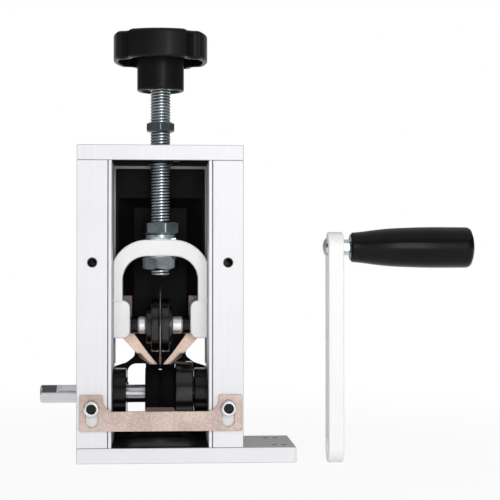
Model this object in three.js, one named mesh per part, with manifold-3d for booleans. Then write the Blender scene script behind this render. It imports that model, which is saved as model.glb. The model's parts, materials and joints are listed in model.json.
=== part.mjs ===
// Hand crank wire stripper: a bench frame with a screw-fed round blade over a knurled drive wheel.
// Millimetres, +Z up, +X to the operator's right, the operator stands on the -Y side.
// The origin lies on the bench, under the middle of the frame.

import * as THREE from 'three';
import { mergeVertices } from 'three/addons/utils/BufferGeometryUtils.js';
import Module from 'manifold-3d';

const wasm = await Module();
wasm.setup();

// Clearances shared by the whole machine
const runningGap = 0.3;     // between a turning or sliding piece and what guides it
const seatGap = 0.3;        // between a bore and the piece that stays in it
const cutOver = 1.5;        // how far a cutting tool runs past the face that it opens

// Roundness of turned pieces
const fineSides = 32;
const roundSides = 18;
const smallSides = 8;
const arcSteps = 4;
const roundedEdgeSteps = 2;
const hexSides = 6;
const quarterTurn = Math.PI / 2;
const fullTurn = Math.PI * 2;

// Frame: base plate, two uprights, top plate
const frameWidth = 108;
const frameDepth = 66;
const baseLength = 142.5;
const baseThickness = 10;
const uprightHeight = 186.5;
const uprightThickness = 20;
const topThickness = 10;
const edgeChamfer = 0.6;
const topBoreChamfer = 1;
const stripThickness = 2.5;
const stripSetback = 0.4;
const linerThickness = 1;

// Bench screw holes in the long end of the base
const benchHole = {
  radius: 2.1,
  sinkRadius: 2.8,
  sinkDepth: 1,
  endInset: 6.9,
  pitch: 6.4,
  frontInset: 14,
  backInset: 13,
  skew: 3,
};

// Machine screws
const frameScrew = {
  shank: 3,
  head: 5,
  headHeight: 6,
  socket: 2.9,
  socketDepth: 3,
  insetY: 13,
  grip: 12,
};
const sunkScrew = { shank: 3, head: 6, sink: 3.4, socket: 2.3, socketDepth: 2.4, grip: 12 };
const smallScrew = { shank: 1.5, head: 2.8, headHeight: 1.8, socket: 1.15, socketDepth: 1.1 };
const flatScrew = { shank: 2, head: 3.8, sink: 2, socket: 1.4, socketDepth: 1.4, length: 8 };
const frontHole = { radius: 2.7, sinkRadius: 3.3, sinkDepth: 0.8, depth: 14, height: 130 };

// Drive line: shaft, knurled wheel, spacer sleeve, bearings
const driveHeight = 42.6;
const shaftRadius = 6;
const shaftOutside = 25.6;
const shaftTail = 15;
const shaftFlat = { length: 9.5, depth: 1.8, inset: 1.4, runOut: 2 };
const shaftEndChamfer = 0.9;
const wheel = { radius: 18.2, width: 20, rim: 1, grooveWidth: 1.8, grooveDepth: 2.4 };
const sleeve = { radius: 21.4, width: 11.2, rim: 0.8 };
const driveSetScrew = { radius: 2.5, depthIn: 0.6 };
const housing = { radius: 17, width: 9, lipThickness: 2.2, rim: 0.8 };
const bearing = { outerRadius: 11.8, width: 6, shoulder: 0.4 };

// Yoke that carries the blade
const yoke = {
  depth: 15,
  footHeight: 25,
  footWidth: 11.1,
  footCorner: 5,
  archHeight: 29.6,
  archCorner: 15.8,
  armThickness: 6,
  barThickness: 11,
  shoulder: 24.8,
  crownHalf: 8.7,
  heel: 1,
};
const axleAboveFoot = 8.5;
const axleRadius = 4;
const axleChamfer = 0.5;
const collar = { radius: 5.75, width: 4.8, rim: 0.5 };
const spacer = { radius: 5.75, rim: 0.7 };
const grubScrew = { radius: 2, socket: 1, socketDepth: 1.6 };

// Blade stack
const blade = { radius: 27, thickness: 1.2, bevel: 3, edge: 0.2 };
const flange = { radius: 18, width: 5.1, rim: 0.8 };
const hub = { radius: 12.5, leftWidth: 3.2, rightWidth: 1.5, rim: 0.4 };
const bushing = { radius: 8 };
const bladeToWheel = 0.5;

// V guides behind the yoke
const guide = {
  thickness: 1.5,
  tabInner: 19,
  tabOuter: 29,
  tabTop: 28.2,
  neckInner: 18.3,
  neckInnerHeight: 3.4,
  elbowInner: 8.3,
  elbowInnerDrop: 10.4,
  elbowOuter: 15.9,
  elbowOuterDrop: 12.5,
  neckOuter: 24.8,
  neckOuterDrop: 1,
  tipInner: 1.6,
  tipOuter: 4,
  tipDrop: 18.4,
  screwInset: 5,
  screwHeight: 20,
};

// Feed spindle and its nuts
const spindleRadius = 6.8;
const spindleTail = 4;
const spindleChamfer = 1;
const nut = { acrossFlats: 22, height: 9, turn: 0.302 };
const topNut = { acrossFlats: 22, height: 8.6, turn: -0.22 };
const jamNut = { acrossFlats: 18.5, height: 6.2, abovePlate: 11.4 };
const lockWasher = { radius: 10.3, height: 3.4, split: 1.6 };
const nutChamferShare = 0.13;
const headRimShare = 0.1;

// Star knob
const knob = {
  clearOfPlate: 38.8,
  hubHeight: 19.2,
  hubRadius: 15.7,
  headHeight: 19.8,
  lobeOffset: 12,
  lobeRadius: 19.4,
  notchRadius: 3,
  edgeRound: 2.4,
  hubChamfer: 0.6,
  rimWall: 3.2,
  hollowDepth: 12,
  recessRim: 2.2,
  recessDepth: 1.4,
  lobes: 4,
  turn: -0.12,
};
const insert = { radius: 10, height: 17 };

// Rear cover and the frame that carries it
const coverFrame = { thickness: 2.3, wall: 2.3, setback: 46, bottom: 62 };
const cover = {
  sheet: 1.5,
  doorHalfWidth: 27.6,
  doorTop: 22,
  backHalfWidth: 17.8,
  backDrop: 6,
  backReach: 17,
  bottom: 79.5,
  flapReach: 13,
  screwOffset: 20,
  screwGrip: 6,
};

// Rear bridge behind the drive wheel
const bridge = {
  thickness: 3,
  backInset: 2.5,
  shoulderHeight: 59,
  kneeHalfWidth: 23.2,
  kneeHeight: 61.6,
  crownHalfWidth: 15.6,
  crownHeight: 66,
  tongueOverlap: 2.5,
  dropHalf: 10,
  dropBottom: 57,
  windowHalfWidth: 22.5,
  windowTop: 60.8,
  windowBottom: 16,
  windowCorner: 5,
  notchRadius: 12,
  notchBottom: 1.1,
  footReach: 7,
  footThickness: 3,
  footInner: 14,
};

// Front guide plate
const plate = {
  thickness: 3,
  halfWidth: 53,
  bottom: 21.2,
  barHeight: 12.7,
  totalHeight: 23.4,
  earWidth: 15.2,
  fillet: 8,
  earCorner: 0.8,
  slotWidth: 8.2,
  slotBottom: 2.6,
  slotTop: 3.4,
  tabHalfWidth: 10.1,
  tabTipHalfWidth: 9,
  tabReach: 11.5,
  tabRise: 1.4,
  tabThickness: 2,
};
const clampScrewHeight = 36.1;

// Crank, taken off and stood beside the frame
const crank = {
  standX: 113.6,
  armThickness: 10,
  armWidth: 20,
  armLength: 150,
  boreInset: 10,
};
const gripBolt = {
  radius: 3.6,
  domeRadius: 6.2,
  domeShoulder: 5.4,
  domeTop: 3.1,
  domeHeight: 3,
  chamfer: 0.9,
};
const gripNut = { acrossFlats: 9.6, height: 4.7 };
const grip = {
  length: 80.5,
  smallRadius: 9.6,
  midRadius: 12.6,
  midShare: 0.34,
  fullShare: 0.62,
  bigRadius: 13.4,
  round: 3.6,
  endTaper: 0.9,
  neckRound: 1.8,
  neckTaper: 0.6,
  boreEnd: 6,
};

// Places worked out from the sizes above
const halfWidth = frameWidth / 2;
const halfDepth = frameDepth / 2;
const openHalf = halfWidth - uprightThickness;
const innerHalf = openHalf - stripThickness;
const uprightMiddle = halfWidth - uprightThickness / 2;
const uprightTop = baseThickness + uprightHeight;
const frameTop = uprightTop + topThickness;
const baseRight = baseLength - halfWidth;
const axleHeight = driveHeight + wheel.radius + bladeToWheel + blade.radius;
const footBottom = axleHeight - axleAboveFoot;
const footTop = footBottom + yoke.footHeight;
const archTop = footTop + yoke.archHeight;
const yokeTop = archTop + yoke.barThickness;
const yokeHalf = innerHalf - runningGap;
const footInner = yokeHalf - yoke.footWidth;
const housingInner = innerHalf - housing.width;
const plateFront = -halfDepth - runningGap - plate.thickness;

// Finishes
const finishes = {
  aluminium: { color: 0xe6e7e8, roughness: 0.38, metalness: 0.85 },
  castSilver: { color: 0xf2f2f1, roughness: 0.42, metalness: 0.7 },
  blackSteel: { color: 0x1b1b1d, roughness: 0.35, metalness: 0.6 },
  blackPlastic: { color: 0x202123, roughness: 0.45, metalness: 0 },
  glossPlastic: { color: 0x2a2a2c, roughness: 0.2, metalness: 0 },
  copperPlate: { color: 0xe2c7b6, roughness: 0.36, metalness: 0.85 },
  zincSteel: { color: 0xb9c6cb, roughness: 0.3, metalness: 0.9 },
  stainless: { color: 0xd2d3d4, roughness: 0.25, metalness: 0.95 },
  brightSteel: { color: 0xc4c6c9, roughness: 0.2, metalness: 1 },
  brass: { color: 0xc9a458, roughness: 0.35, metalness: 0.9 },
  blackRubber: { color: 0x17181a, roughness: 0.7, metalness: 0 },
};

function toSolid(geometry) {
  const bare = geometry.clone();
  bare.deleteAttribute('normal');
  bare.deleteAttribute('uv');
  const merged = mergeVertices(bare);
  const surface = new wasm.Mesh({
    numProp: 3,
    vertProperties: Float32Array.from(merged.attributes.position.array),
    triVerts: Uint32Array.from(merged.index.array),
  });
  return new wasm.Manifold(surface);
}

function toGeometry(solid) {
  const surface = solid.getMesh();
  const geometry = new THREE.BufferGeometry();
  geometry.setAttribute('position', new THREE.BufferAttribute(surface.vertProperties, 3));
  geometry.setIndex(new THREE.BufferAttribute(surface.triVerts, 1));
  geometry.computeVertexNormals();
  return geometry;
}

function piece(name, solid, finish) {
  const mesh = new THREE.Mesh(toGeometry(solid), new THREE.MeshStandardMaterial(finishes[finish]));
  mesh.name = name;
  return mesh;
}

function assembly(place, ...members) {
  const group = new THREE.Group();
  group.position.copy(place);
  group.add(...members);
  return group;
}

// Three turns that lay a shape drawn in x, y and pushed along z onto the machine's planes
const standing = new THREE.Matrix4().makeBasis(
  new THREE.Vector3(1, 0, 0), new THREE.Vector3(0, 0, 1), new THREE.Vector3(0, -1, 0));
const sideways = new THREE.Matrix4().makeBasis(
  new THREE.Vector3(0, 1, 0), new THREE.Vector3(0, 0, 1), new THREE.Vector3(1, 0, 0));
const upright = new THREE.Matrix4();

function block(x, y, z) {
  const geometry = new THREE.BoxGeometry(x[1] - x[0], y[1] - y[0], z[1] - z[0]);
  geometry.translate((x[0] + x[1]) / 2, (y[0] + y[1]) / 2, (z[0] + z[1]) / 2);
  return toSolid(geometry);
}

function outlineOf(points) {
  return new THREE.Shape(points.map(([x, y]) => new THREE.Vector2(x, y)));
}

// Outline of a bar with its four corners broken by a small chamfer
function chamferedOutline(left, right, bottom, top, chamfer) {
  return outlineOf([
    [left + chamfer, bottom],
    [right - chamfer, bottom],
    [right, bottom + chamfer],
    [right, top - chamfer],
    [right - chamfer, top],
    [left + chamfer, top],
    [left, top - chamfer],
    [left, bottom + chamfer],
  ]);
}

function pushed(shape, depth, lay, curveSegments = arcSteps) {
  const geometry = new THREE.ExtrudeGeometry(shape, { depth, bevelEnabled: false, curveSegments });
  geometry.applyMatrix4(lay);
  return toSolid(geometry);
}

// Turned piece: the profile lists [along, radius] pairs from one end to the other
function turned(profile, sides, lay) {
  const points = profile.map(([along, radius]) => new THREE.Vector2(radius, along));
  const first = new THREE.Vector2(0, points[0].y);
  const last = new THREE.Vector2(0, points[points.length - 1].y);
  const geometry = new THREE.LatheGeometry([first, ...points, last], sides);
  geometry.rotateX(quarterTurn);
  geometry.applyMatrix4(lay);
  return toSolid(geometry);
}

function round(radius, from, to, sides, lay) {
  return turned([[from, radius], [to, radius]], sides, lay);
}

// Disc with both rims broken
function disc(radius, from, to, rim, sides, lay) {
  return turned([
    [from, radius - rim],
    [from + rim, radius],
    [to - rim, radius],
    [to, radius - rim],
  ], sides, lay);
}

function hexagon(acrossFlats, turn) {
  const corner = acrossFlats / Math.sqrt(3);
  return outlineOf(Array.from({ length: hexSides }, (_, index) => {
    const angle = turn + index * fullTurn / hexSides;
    return [corner * Math.cos(angle), corner * Math.sin(angle)];
  }));
}

// Hexagon nut whose corners are cut by a cone on both faces
function hexNut(acrossFlats, height, boreRadius, turn, lay) {
  const corner = acrossFlats / Math.sqrt(3);
  const chamfer = acrossFlats * nutChamferShare;
  const body = pushed(hexagon(acrossFlats, turn), height, lay);
  const cone = turned([
    [0, corner - chamfer],
    [chamfer / 2, corner],
    [height - chamfer / 2, corner],
    [height, corner - chamfer],
  ], roundSides, lay);
  return body.intersect(cone).subtract(round(boreRadius, -cutOver, height + cutOver, roundSides, lay));
}

// Socket cap screw: the head's seat is at zero, the head points along +z before it is laid
function capScrew(size, length, lay) {
  const rim = size.headHeight * headRimShare;
  const head = turned([
    [0, size.head],
    [size.headHeight - rim, size.head],
    [size.headHeight, size.head - rim],
  ], roundSides, lay);
  const shank = round(size.shank, -length, rim, smallSides, lay);
  const socket = pushed(hexagon(size.socket * 2, 0), size.socketDepth + cutOver,
    lay.clone().multiply(new THREE.Matrix4().makeTranslation(0, 0, size.headHeight - size.socketDepth)));
  return head.add(shank).subtract(socket);
}

// Countersunk screw: the head's flat top is at zero, the shank points along -z
function countersunkScrew(size, length, lay) {
  const body = turned([[-length, size.shank], [-size.sink, size.shank], [0, size.head]], roundSides, lay);
  const socket = pushed(hexagon(size.socket * 2, 0), size.socketDepth + cutOver,
    lay.clone().multiply(new THREE.Matrix4().makeTranslation(0, 0, -size.socketDepth)));
  return body.subtract(socket);
}

function countersink(size, length, lay) {
  const wide = size.head + seatGap;
  return turned([
    [-length, size.shank + seatGap],
    [-size.sink, size.shank + seatGap],
    [0, wide],
    [cutOver, wide],
  ], roundSides, lay);
}

function spread(solid, places) {
  return places.map((place) => solid.translate(place)).reduce((all, next) => all.add(next));
}

// Turns that point a screw's head along a direction
const headUp = upright;
const headDown = new THREE.Matrix4().makeRotationX(Math.PI);
const headFront = new THREE.Matrix4().makeRotationX(quarterTurn);
const headBack = new THREE.Matrix4().makeRotationX(-quarterTurn);

function framePlaces(z) {
  return [-1, 1].flatMap((side) => [-1, 1].map((end) => (
    [side * uprightMiddle, end * (halfDepth - frameScrew.insetY), z])));
}

function fasteners(name, build, places, finish) {
  return places.map((place, index) => {
    const mesh = piece(`${name}_${index + 1}`, build(), finish);
    mesh.position.set(...place);
    return mesh;
  });
}

function basePlate() {
  const outline = chamferedOutline(-halfWidth, baseRight, 0, baseThickness, edgeChamfer);
  const body = pushed(outline, frameDepth, standing).translate([0, halfDepth, 0]);
  const counterbore = round(
    frameScrew.head + seatGap, -cutOver, frameScrew.headHeight + seatGap, roundSides, upright);
  const clearance = round(
    frameScrew.shank + seatGap, -cutOver, baseThickness + cutOver, smallSides, upright);
  const footScrewHole = round(
    flatScrew.shank + seatGap, -cutOver, baseThickness + cutOver, smallSides, upright);
  return body
    .subtract(spread(counterbore.add(clearance), framePlaces(0)))
    .subtract(spread(benchHoleTool(), benchHolePlaces()))
    .subtract(spread(footScrewHole, footScrewPlaces(0)));
}

function benchHoleTool() {
  const through = round(benchHole.radius, -cutOver, baseThickness + cutOver, smallSides, upright);
  const sink = turned([
    [baseThickness - benchHole.sinkDepth, benchHole.radius],
    [baseThickness, benchHole.sinkRadius],
    [baseThickness + cutOver, benchHole.sinkRadius],
  ], smallSides, upright);
  return through.add(sink);
}

function benchHolePlaces() {
  const rows = [
    { y: -halfDepth + benchHole.frontInset, shift: 0 },
    { y: halfDepth - benchHole.backInset, shift: benchHole.skew },
  ];
  return rows.flatMap(({ y, shift }) => [0, 1].map((column) => (
    [baseRight - benchHole.endInset - shift - column * benchHole.pitch, y, 0])));
}

function uprightPost(side) {
  const left = side < 0 ? -halfWidth : openHalf;
  const right = side < 0 ? -openHalf : halfWidth;
  const section = chamferedOutline(left, right, -halfDepth, halfDepth, edgeChamfer);
  const body = pushed(section, uprightHeight, upright).translate([0, 0, baseThickness]);
  const tapped = round(
    frameScrew.shank + seatGap, -cutOver, frameScrew.grip + seatGap, smallSides, upright);
  const lower = spread(tapped, framePlaces(baseThickness));
  const upper = spread(tapped.mirror([0, 0, 1]), framePlaces(uprightTop));
  const clampBore = round(
    frameScrew.shank + seatGap, -frameScrew.grip - seatGap, cutOver, smallSides, headFront)
    .translate([side * uprightMiddle, -halfDepth, clampScrewHeight]);
  const front = frontHoleTool().translate([side * uprightMiddle, -halfDepth, frontHole.height]);
  return body.subtract(lower).subtract(upper).subtract(clampBore).subtract(front).subtract(shaftBore(side));
}

function frontHoleTool() {
  return turned([
    [-frontHole.depth, frontHole.radius],
    [-frontHole.sinkDepth, frontHole.radius],
    [0, frontHole.sinkRadius],
    [cutOver, frontHole.sinkRadius],
  ], roundSides, headFront);
}

// The shaft leaves through the left upright and ends inside the right one
function shaftBore(side) {
  const from = side < 0 ? -halfWidth - cutOver : innerHalf - cutOver;
  const to = side < 0 ? -innerHalf + cutOver : innerHalf + shaftTail + runningGap * 2;
  return round(shaftRadius + runningGap * 2, from, to, roundSides, sideways).translate([0, 0, driveHeight]);
}

function guideStrip(side) {
  const left = side < 0 ? -openHalf : innerHalf;
  const body = block([left, left + stripThickness], [-halfDepth + stripSetback, halfDepth - stripSetback],
    [baseThickness, uprightTop]);
  return body.subtract(shaftBore(side));
}

function topPlate() {
  const outline = chamferedOutline(-halfWidth, halfWidth, uprightTop, frameTop, edgeChamfer);
  const body = pushed(outline, frameDepth, standing).translate([0, halfDepth, 0]);
  const sinks = spread(countersink(sunkScrew, topThickness + cutOver, upright), framePlaces(frameTop));
  const thread = turned([
    [uprightTop - cutOver, spindleRadius + runningGap],
    [frameTop - topBoreChamfer, spindleRadius + runningGap],
    [frameTop, spindleRadius + runningGap + topBoreChamfer],
    [frameTop + cutOver, spindleRadius + runningGap + topBoreChamfer],
  ], roundSides, upright);
  const coverBore = round(
    smallScrew.shank + seatGap, -cutOver, cover.screwGrip + seatGap, smallSides, upright);
  const coverBores = spread(coverBore, coverScrewPlaces(uprightTop));
  return body.subtract(sinks).subtract(thread).subtract(coverBores);
}

function topScrew() {
  return countersunkScrew(sunkScrew, topThickness + sunkScrew.grip, headUp);
}

function baseScrew() {
  return capScrew(frameScrew, baseThickness - frameScrew.headHeight - seatGap + frameScrew.grip, headDown);
}

function floorLiner() {
  const back = halfDepth - bridge.backInset - bridge.thickness - bridge.footReach - seatGap;
  return block([-innerHalf, innerHalf], [-halfDepth + stripSetback, back],
    [baseThickness, baseThickness + linerThickness]);
}

const coverFront = -halfDepth + coverFrame.setback + coverFrame.thickness;

// Flat arch, open downwards, that lines the opening in front of the rear cover
function coverArch() {
  const outer = block([-innerHalf, innerHalf], [0, coverFrame.thickness], [coverFrame.bottom, uprightTop]);
  const inner = block([-innerHalf + coverFrame.wall, innerHalf - coverFrame.wall],
    [-cutOver, coverFrame.thickness + cutOver], [coverFrame.bottom - cutOver, uprightTop - coverFrame.wall]);
  return outer.subtract(inner).translate([0, -halfDepth + coverFrame.setback, 0]);
}

function coverScrewPlaces(z) {
  const y = coverFront + cover.sheet + cover.flapReach / 2;
  return [-1, 1].map((side) => [side * cover.screwOffset, y, z]);
}

// Loft between two rectangles of the same corner order, for the cover's funnel
function funnel(front, back, reach) {
  const [frontHalf, frontTop] = front;
  const [backHalf, backTop] = back;
  const corners = [
    [-frontHalf, 0, cover.bottom],
    [frontHalf, 0, cover.bottom],
    [frontHalf, 0, frontTop],
    [-frontHalf, 0, frontTop],
    [-backHalf, reach, cover.bottom],
    [backHalf, reach, cover.bottom],
    [backHalf, reach, backTop],
    [-backHalf, reach, backTop],
  ];
  const faces = [[0, 1, 2, 3], [5, 4, 7, 6], [1, 5, 6, 2], [4, 0, 3, 7], [3, 2, 6, 7], [4, 5, 1, 0]];
  const geometry = new THREE.BufferGeometry();
  geometry.setAttribute('position', new THREE.Float32BufferAttribute(corners.flat(), 3));
  geometry.setIndex(faces.flatMap(([a, b, c, d]) => [a, b, c, a, c, d]));
  return toSolid(geometry);
}

function rearCover() {
  const doorTop = uprightTop - cover.doorTop;
  const backTop = doorTop - cover.backDrop;
  const skin = cover.sheet;
  const across = [-innerHalf + seatGap, innerHalf - seatGap];
  const flangePart = block(across, [0, skin], [cover.bottom, uprightTop]);
  const flap = block(across, [0, skin + cover.flapReach], [uprightTop - skin, uprightTop]);
  const outer = funnel(
    [cover.doorHalfWidth + skin, doorTop + skin],
    [cover.backHalfWidth + skin, backTop + skin],
    cover.backReach);
  const widening = skin * (cover.doorHalfWidth - cover.backHalfWidth) / cover.backReach;
  const hollow = funnel(
    [cover.doorHalfWidth + widening, doorTop],
    [cover.backHalfWidth + widening / 2, backTop],
    cover.backReach - skin);
  const below = hollow.translate([0, 0, -cutOver]);
  const mouth = hollow.translate([0, -cutOver, 0]);
  const holes = spread(round(smallScrew.shank + seatGap, -skin - cutOver, cutOver, smallSides, upright),
    coverScrewPlaces(uprightTop));
  return flangePart.add(outer).subtract(hollow).subtract(below).subtract(mouth).add(flap)
    .translate([0, coverFront, 0]).subtract(holes);
}

function coverScrew() {
  return capScrew(smallScrew, cover.sheet + cover.screwGrip, headDown);
}

// Half of the bridge's outline, from the bottom middle round to the crown
function bridgeOutline() {
  const half = [
    [innerHalf, baseThickness],
    [innerHalf, bridge.shoulderHeight],
    [bridge.kneeHalfWidth, bridge.kneeHeight],
    [bridge.crownHalfWidth, bridge.crownHeight],
    [bridge.crownHalfWidth, cover.bottom + bridge.tongueOverlap],
  ];
  const otherHalf = half.map(([x, z]) => [-x, z]).reverse();
  return outlineOf([...half, ...otherHalf]);
}

function roundedRectangle(left, right, bottom, top, corner) {
  const shape = new THREE.Shape();
  shape.moveTo(left + corner, bottom);
  shape.absarc(right - corner, bottom + corner, corner, -quarterTurn, 0);
  shape.absarc(right - corner, top - corner, corner, 0, quarterTurn);
  shape.absarc(left + corner, top - corner, corner, quarterTurn, quarterTurn * 2);
  shape.absarc(left + corner, bottom + corner, corner, quarterTurn * 2, quarterTurn * 3);
  shape.closePath();
  return shape;
}

function footScrewPlaces(z) {
  const y = halfDepth - bridge.backInset - bridge.thickness - bridge.footReach / 2;
  const x = (bridge.footInner + innerHalf) / 2;
  return [[-x, y, z], [x, y, z]];
}

const bridgeFootTop = baseThickness + bridge.footThickness;

function rearBridge() {
  const back = halfDepth - bridge.backInset;
  const front = back - bridge.thickness;
  const wall = pushed(bridgeOutline(), bridge.thickness, standing).translate([0, back, 0]);
  const windowOutline = roundedRectangle(-bridge.windowHalfWidth, bridge.windowHalfWidth,
    bridge.windowBottom, bridge.windowTop, bridge.windowCorner);
  const drop = block([-bridge.dropHalf, bridge.dropHalf], [front - cutOver * 2, back + cutOver * 2],
    [bridge.dropBottom, bridge.windowTop + cutOver]);
  const window = pushed(windowOutline, bridge.thickness + cutOver * 2, standing, arcSteps / 2)
    .translate([0, back + cutOver, 0]).subtract(drop);
  const notchMiddle = baseThickness + bridge.notchBottom + bridge.notchRadius;
  const notch = round(bridge.notchRadius, front - cutOver, back + cutOver, roundSides,
    new THREE.Matrix4().makeRotationX(-quarterTurn)).translate([0, 0, notchMiddle]);
  const foot = (side) => block(
    side < 0 ? [-innerHalf, -bridge.footInner] : [bridge.footInner, innerHalf],
    [front - bridge.footReach, front + bridge.thickness / 2], [baseThickness, bridgeFootTop]);
  const sinks = spread(countersink(flatScrew, flatScrew.length, upright), footScrewPlaces(bridgeFootTop));
  return wall.subtract(window).subtract(notch).add(foot(-1)).add(foot(1)).subtract(sinks);
}

function bridgeScrew() {
  return countersunkScrew(flatScrew, flatScrew.length, headUp);
}

// Slot centre heights of the guide plate, above the bench
const slotRadius = plate.slotWidth / 2;
const slotLow = plate.bottom + plate.slotBottom + slotRadius;
const slotHigh = plate.bottom + plate.totalHeight - plate.slotTop - slotRadius;

function plateOutline() {
  const top = plate.bottom + plate.totalHeight;
  const barTop = plate.bottom + plate.barHeight;
  const earInner = plate.halfWidth - plate.earWidth;
  const shape = new THREE.Shape();
  shape.moveTo(-plate.halfWidth, plate.bottom);
  shape.lineTo(plate.halfWidth, plate.bottom);
  shape.lineTo(plate.halfWidth, top - plate.earCorner);
  shape.lineTo(plate.halfWidth - plate.earCorner, top);
  shape.lineTo(earInner + plate.earCorner, top);
  shape.lineTo(earInner, top - plate.earCorner);
  shape.absarc(earInner - plate.fillet, barTop + plate.fillet, plate.fillet, 0, -quarterTurn, true);
  shape.absarc(-earInner + plate.fillet, barTop + plate.fillet, plate.fillet,
    -quarterTurn, -quarterTurn * 2, true);
  shape.lineTo(-earInner, top - plate.earCorner);
  shape.lineTo(-earInner - plate.earCorner, top);
  shape.lineTo(-plate.halfWidth + plate.earCorner, top);
  shape.lineTo(-plate.halfWidth, top - plate.earCorner);
  shape.closePath();
  return shape;
}

function slotOutline(side) {
  const shape = new THREE.Shape();
  shape.absarc(side * uprightMiddle, slotLow, slotRadius, Math.PI, Math.PI * 2);
  shape.absarc(side * uprightMiddle, slotHigh, slotRadius, 0, Math.PI);
  shape.closePath();
  return shape;
}

// The plate's middle is bent back into a short, slightly rising rest for the wire
function plateTab() {
  const barTop = plate.bottom + plate.barHeight;
  const shape = outlineOf([
    [-plate.tabHalfWidth, 0],
    [plate.tabHalfWidth, 0],
    [plate.tabTipHalfWidth, plate.tabReach + plate.thickness],
    [-plate.tabTipHalfWidth, plate.tabReach + plate.thickness],
  ]);
  const tilt = Math.asin(plate.tabRise / plate.tabReach);
  return pushed(shape, plate.tabThickness, upright)
    .translate([0, 0, -plate.tabThickness])
    .rotate([THREE.MathUtils.radToDeg(tilt), 0, 0])
    .translate([0, plateFront, barTop - plate.tabRise * plate.thickness / plate.tabReach]);
}

function guidePlate() {
  const back = plateFront + plate.thickness;
  const body = pushed(plateOutline(), plate.thickness, standing).translate([0, back, 0]);
  const slots = [-1, 1].map((side) => (
    pushed(slotOutline(side), plate.thickness + cutOver * 2, standing).translate([0, back + cutOver, 0])));
  const sheetFront = block([-plate.halfWidth, plate.halfWidth], [plateFront, halfDepth],
    [plate.bottom, plate.bottom + plate.totalHeight]);
  return body.subtract(slots[0]).subtract(slots[1]).add(plateTab().intersect(sheetFront));
}

const plateScrewPlaces = [-1, 1].map((side) => (
  [side * uprightMiddle, plateFront - runningGap, clampScrewHeight]));

function plateScrew() {
  return capScrew(frameScrew, plate.thickness + runningGap * 2 + frameScrew.grip, headFront);
}

// Flanged bearing housing; the pocket for the bearing opens towards the upright
function bearingHousing(side) {
  const inner = side * housingInner;
  const outer = side * innerHalf;
  const [from, to] = side < 0 ? [outer, inner] : [inner, outer];
  const lipEnd = inner + side * housing.lipThickness;
  const pocketFar = outer + side * cutOver;
  const pocketEnds = [lipEnd, pocketFar].sort((a, b) => a - b);
  const body = disc(housing.radius, from, to, housing.rim, fineSides, sideways);
  const pocket = round(bearing.outerRadius + seatGap, pocketEnds[0], pocketEnds[1], roundSides, sideways);
  const mouth = round(shaftRadius + runningGap * 2, from - cutOver, to + cutOver, roundSides, sideways);
  return body.subtract(pocket).subtract(mouth);
}

function ballBearing(side) {
  const near = side * (housingInner + housing.lipThickness + bearing.shoulder);
  const ends = [near, near + side * bearing.width].sort((a, b) => a - b);
  const ring = disc(bearing.outerRadius, ends[0], ends[1], bearing.shoulder, roundSides, sideways);
  const bore = round(shaftRadius + runningGap, ends[0] - cutOver, ends[1] + cutOver, roundSides, sideways);
  return ring.subtract(bore);
}

function driveShaft() {
  const left = -halfWidth - shaftOutside;
  const right = innerHalf + shaftTail;
  const body = disc(shaftRadius, left, right, shaftEndChamfer, roundSides, sideways);
  const flatFloor = shaftRadius - shaftFlat.depth;
  const flatStart = left + shaftFlat.inset;
  const flatEnd = flatStart + shaftFlat.length;
  const flatShape = outlineOf([
    [flatStart, shaftRadius + cutOver],
    [flatStart, flatFloor],
    [flatEnd, flatFloor],
    [flatEnd + shaftFlat.runOut * 2, shaftRadius + cutOver],
  ]);
  const flat = pushed(flatShape, shaftRadius * 2, standing).translate([0, shaftRadius, 0]);
  return body.subtract(flat);
}

function driveWheel() {
  const half = wheel.width / 2;
  const throat = wheel.grooveWidth / 2;
  const body = turned([
    [-half, wheel.radius - wheel.rim],
    [-half + wheel.rim, wheel.radius],
    [-throat, wheel.radius],
    [-throat, wheel.radius - wheel.grooveDepth],
    [throat, wheel.radius - wheel.grooveDepth],
    [throat, wheel.radius],
    [half - wheel.rim, wheel.radius],
    [half, wheel.radius - wheel.rim],
  ], fineSides, sideways);
  return body.subtract(round(shaftRadius + seatGap, -half - cutOver, half + cutOver, roundSides, sideways));
}

const sleeveFrom = wheel.width / 2 + seatGap;
const sleeveMiddle = sleeveFrom + sleeve.width / 2;

function driveSleeve() {
  const to = sleeveFrom + sleeve.width;
  const body = disc(sleeve.radius, sleeveFrom, to, sleeve.rim, fineSides, sideways);
  const bore = round(shaftRadius + seatGap, sleeveFrom - cutOver, to + cutOver, roundSides, sideways);
  const tapped = round(driveSetScrew.radius + seatGap, 0, sleeve.radius + cutOver, smallSides, headBack)
    .translate([sleeveMiddle, 0, 0]);
  return body.subtract(bore).subtract(tapped);
}

function sleeveSetScrew() {
  const body = round(driveSetScrew.radius, shaftRadius + seatGap, sleeve.radius - driveSetScrew.depthIn,
    smallSides, headBack);
  const socket = pushed(hexagon(driveSetScrew.radius, 0), sleeve.radius, upright)
    .translate([0, 0, sleeve.radius - driveSetScrew.depthIn - driveSetScrew.radius])
    .rotate([-90, 0, 0]);
  return body.subtract(socket).translate([sleeveMiddle, 0, 0]);
}

// Heights in the yoke's own frame, from the underside of its feet
const yokeFootTop = yoke.footHeight;
const yokeArchTop = yokeFootTop + yoke.archHeight;
const yokeCrown = yokeArchTop + yoke.barThickness;

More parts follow.
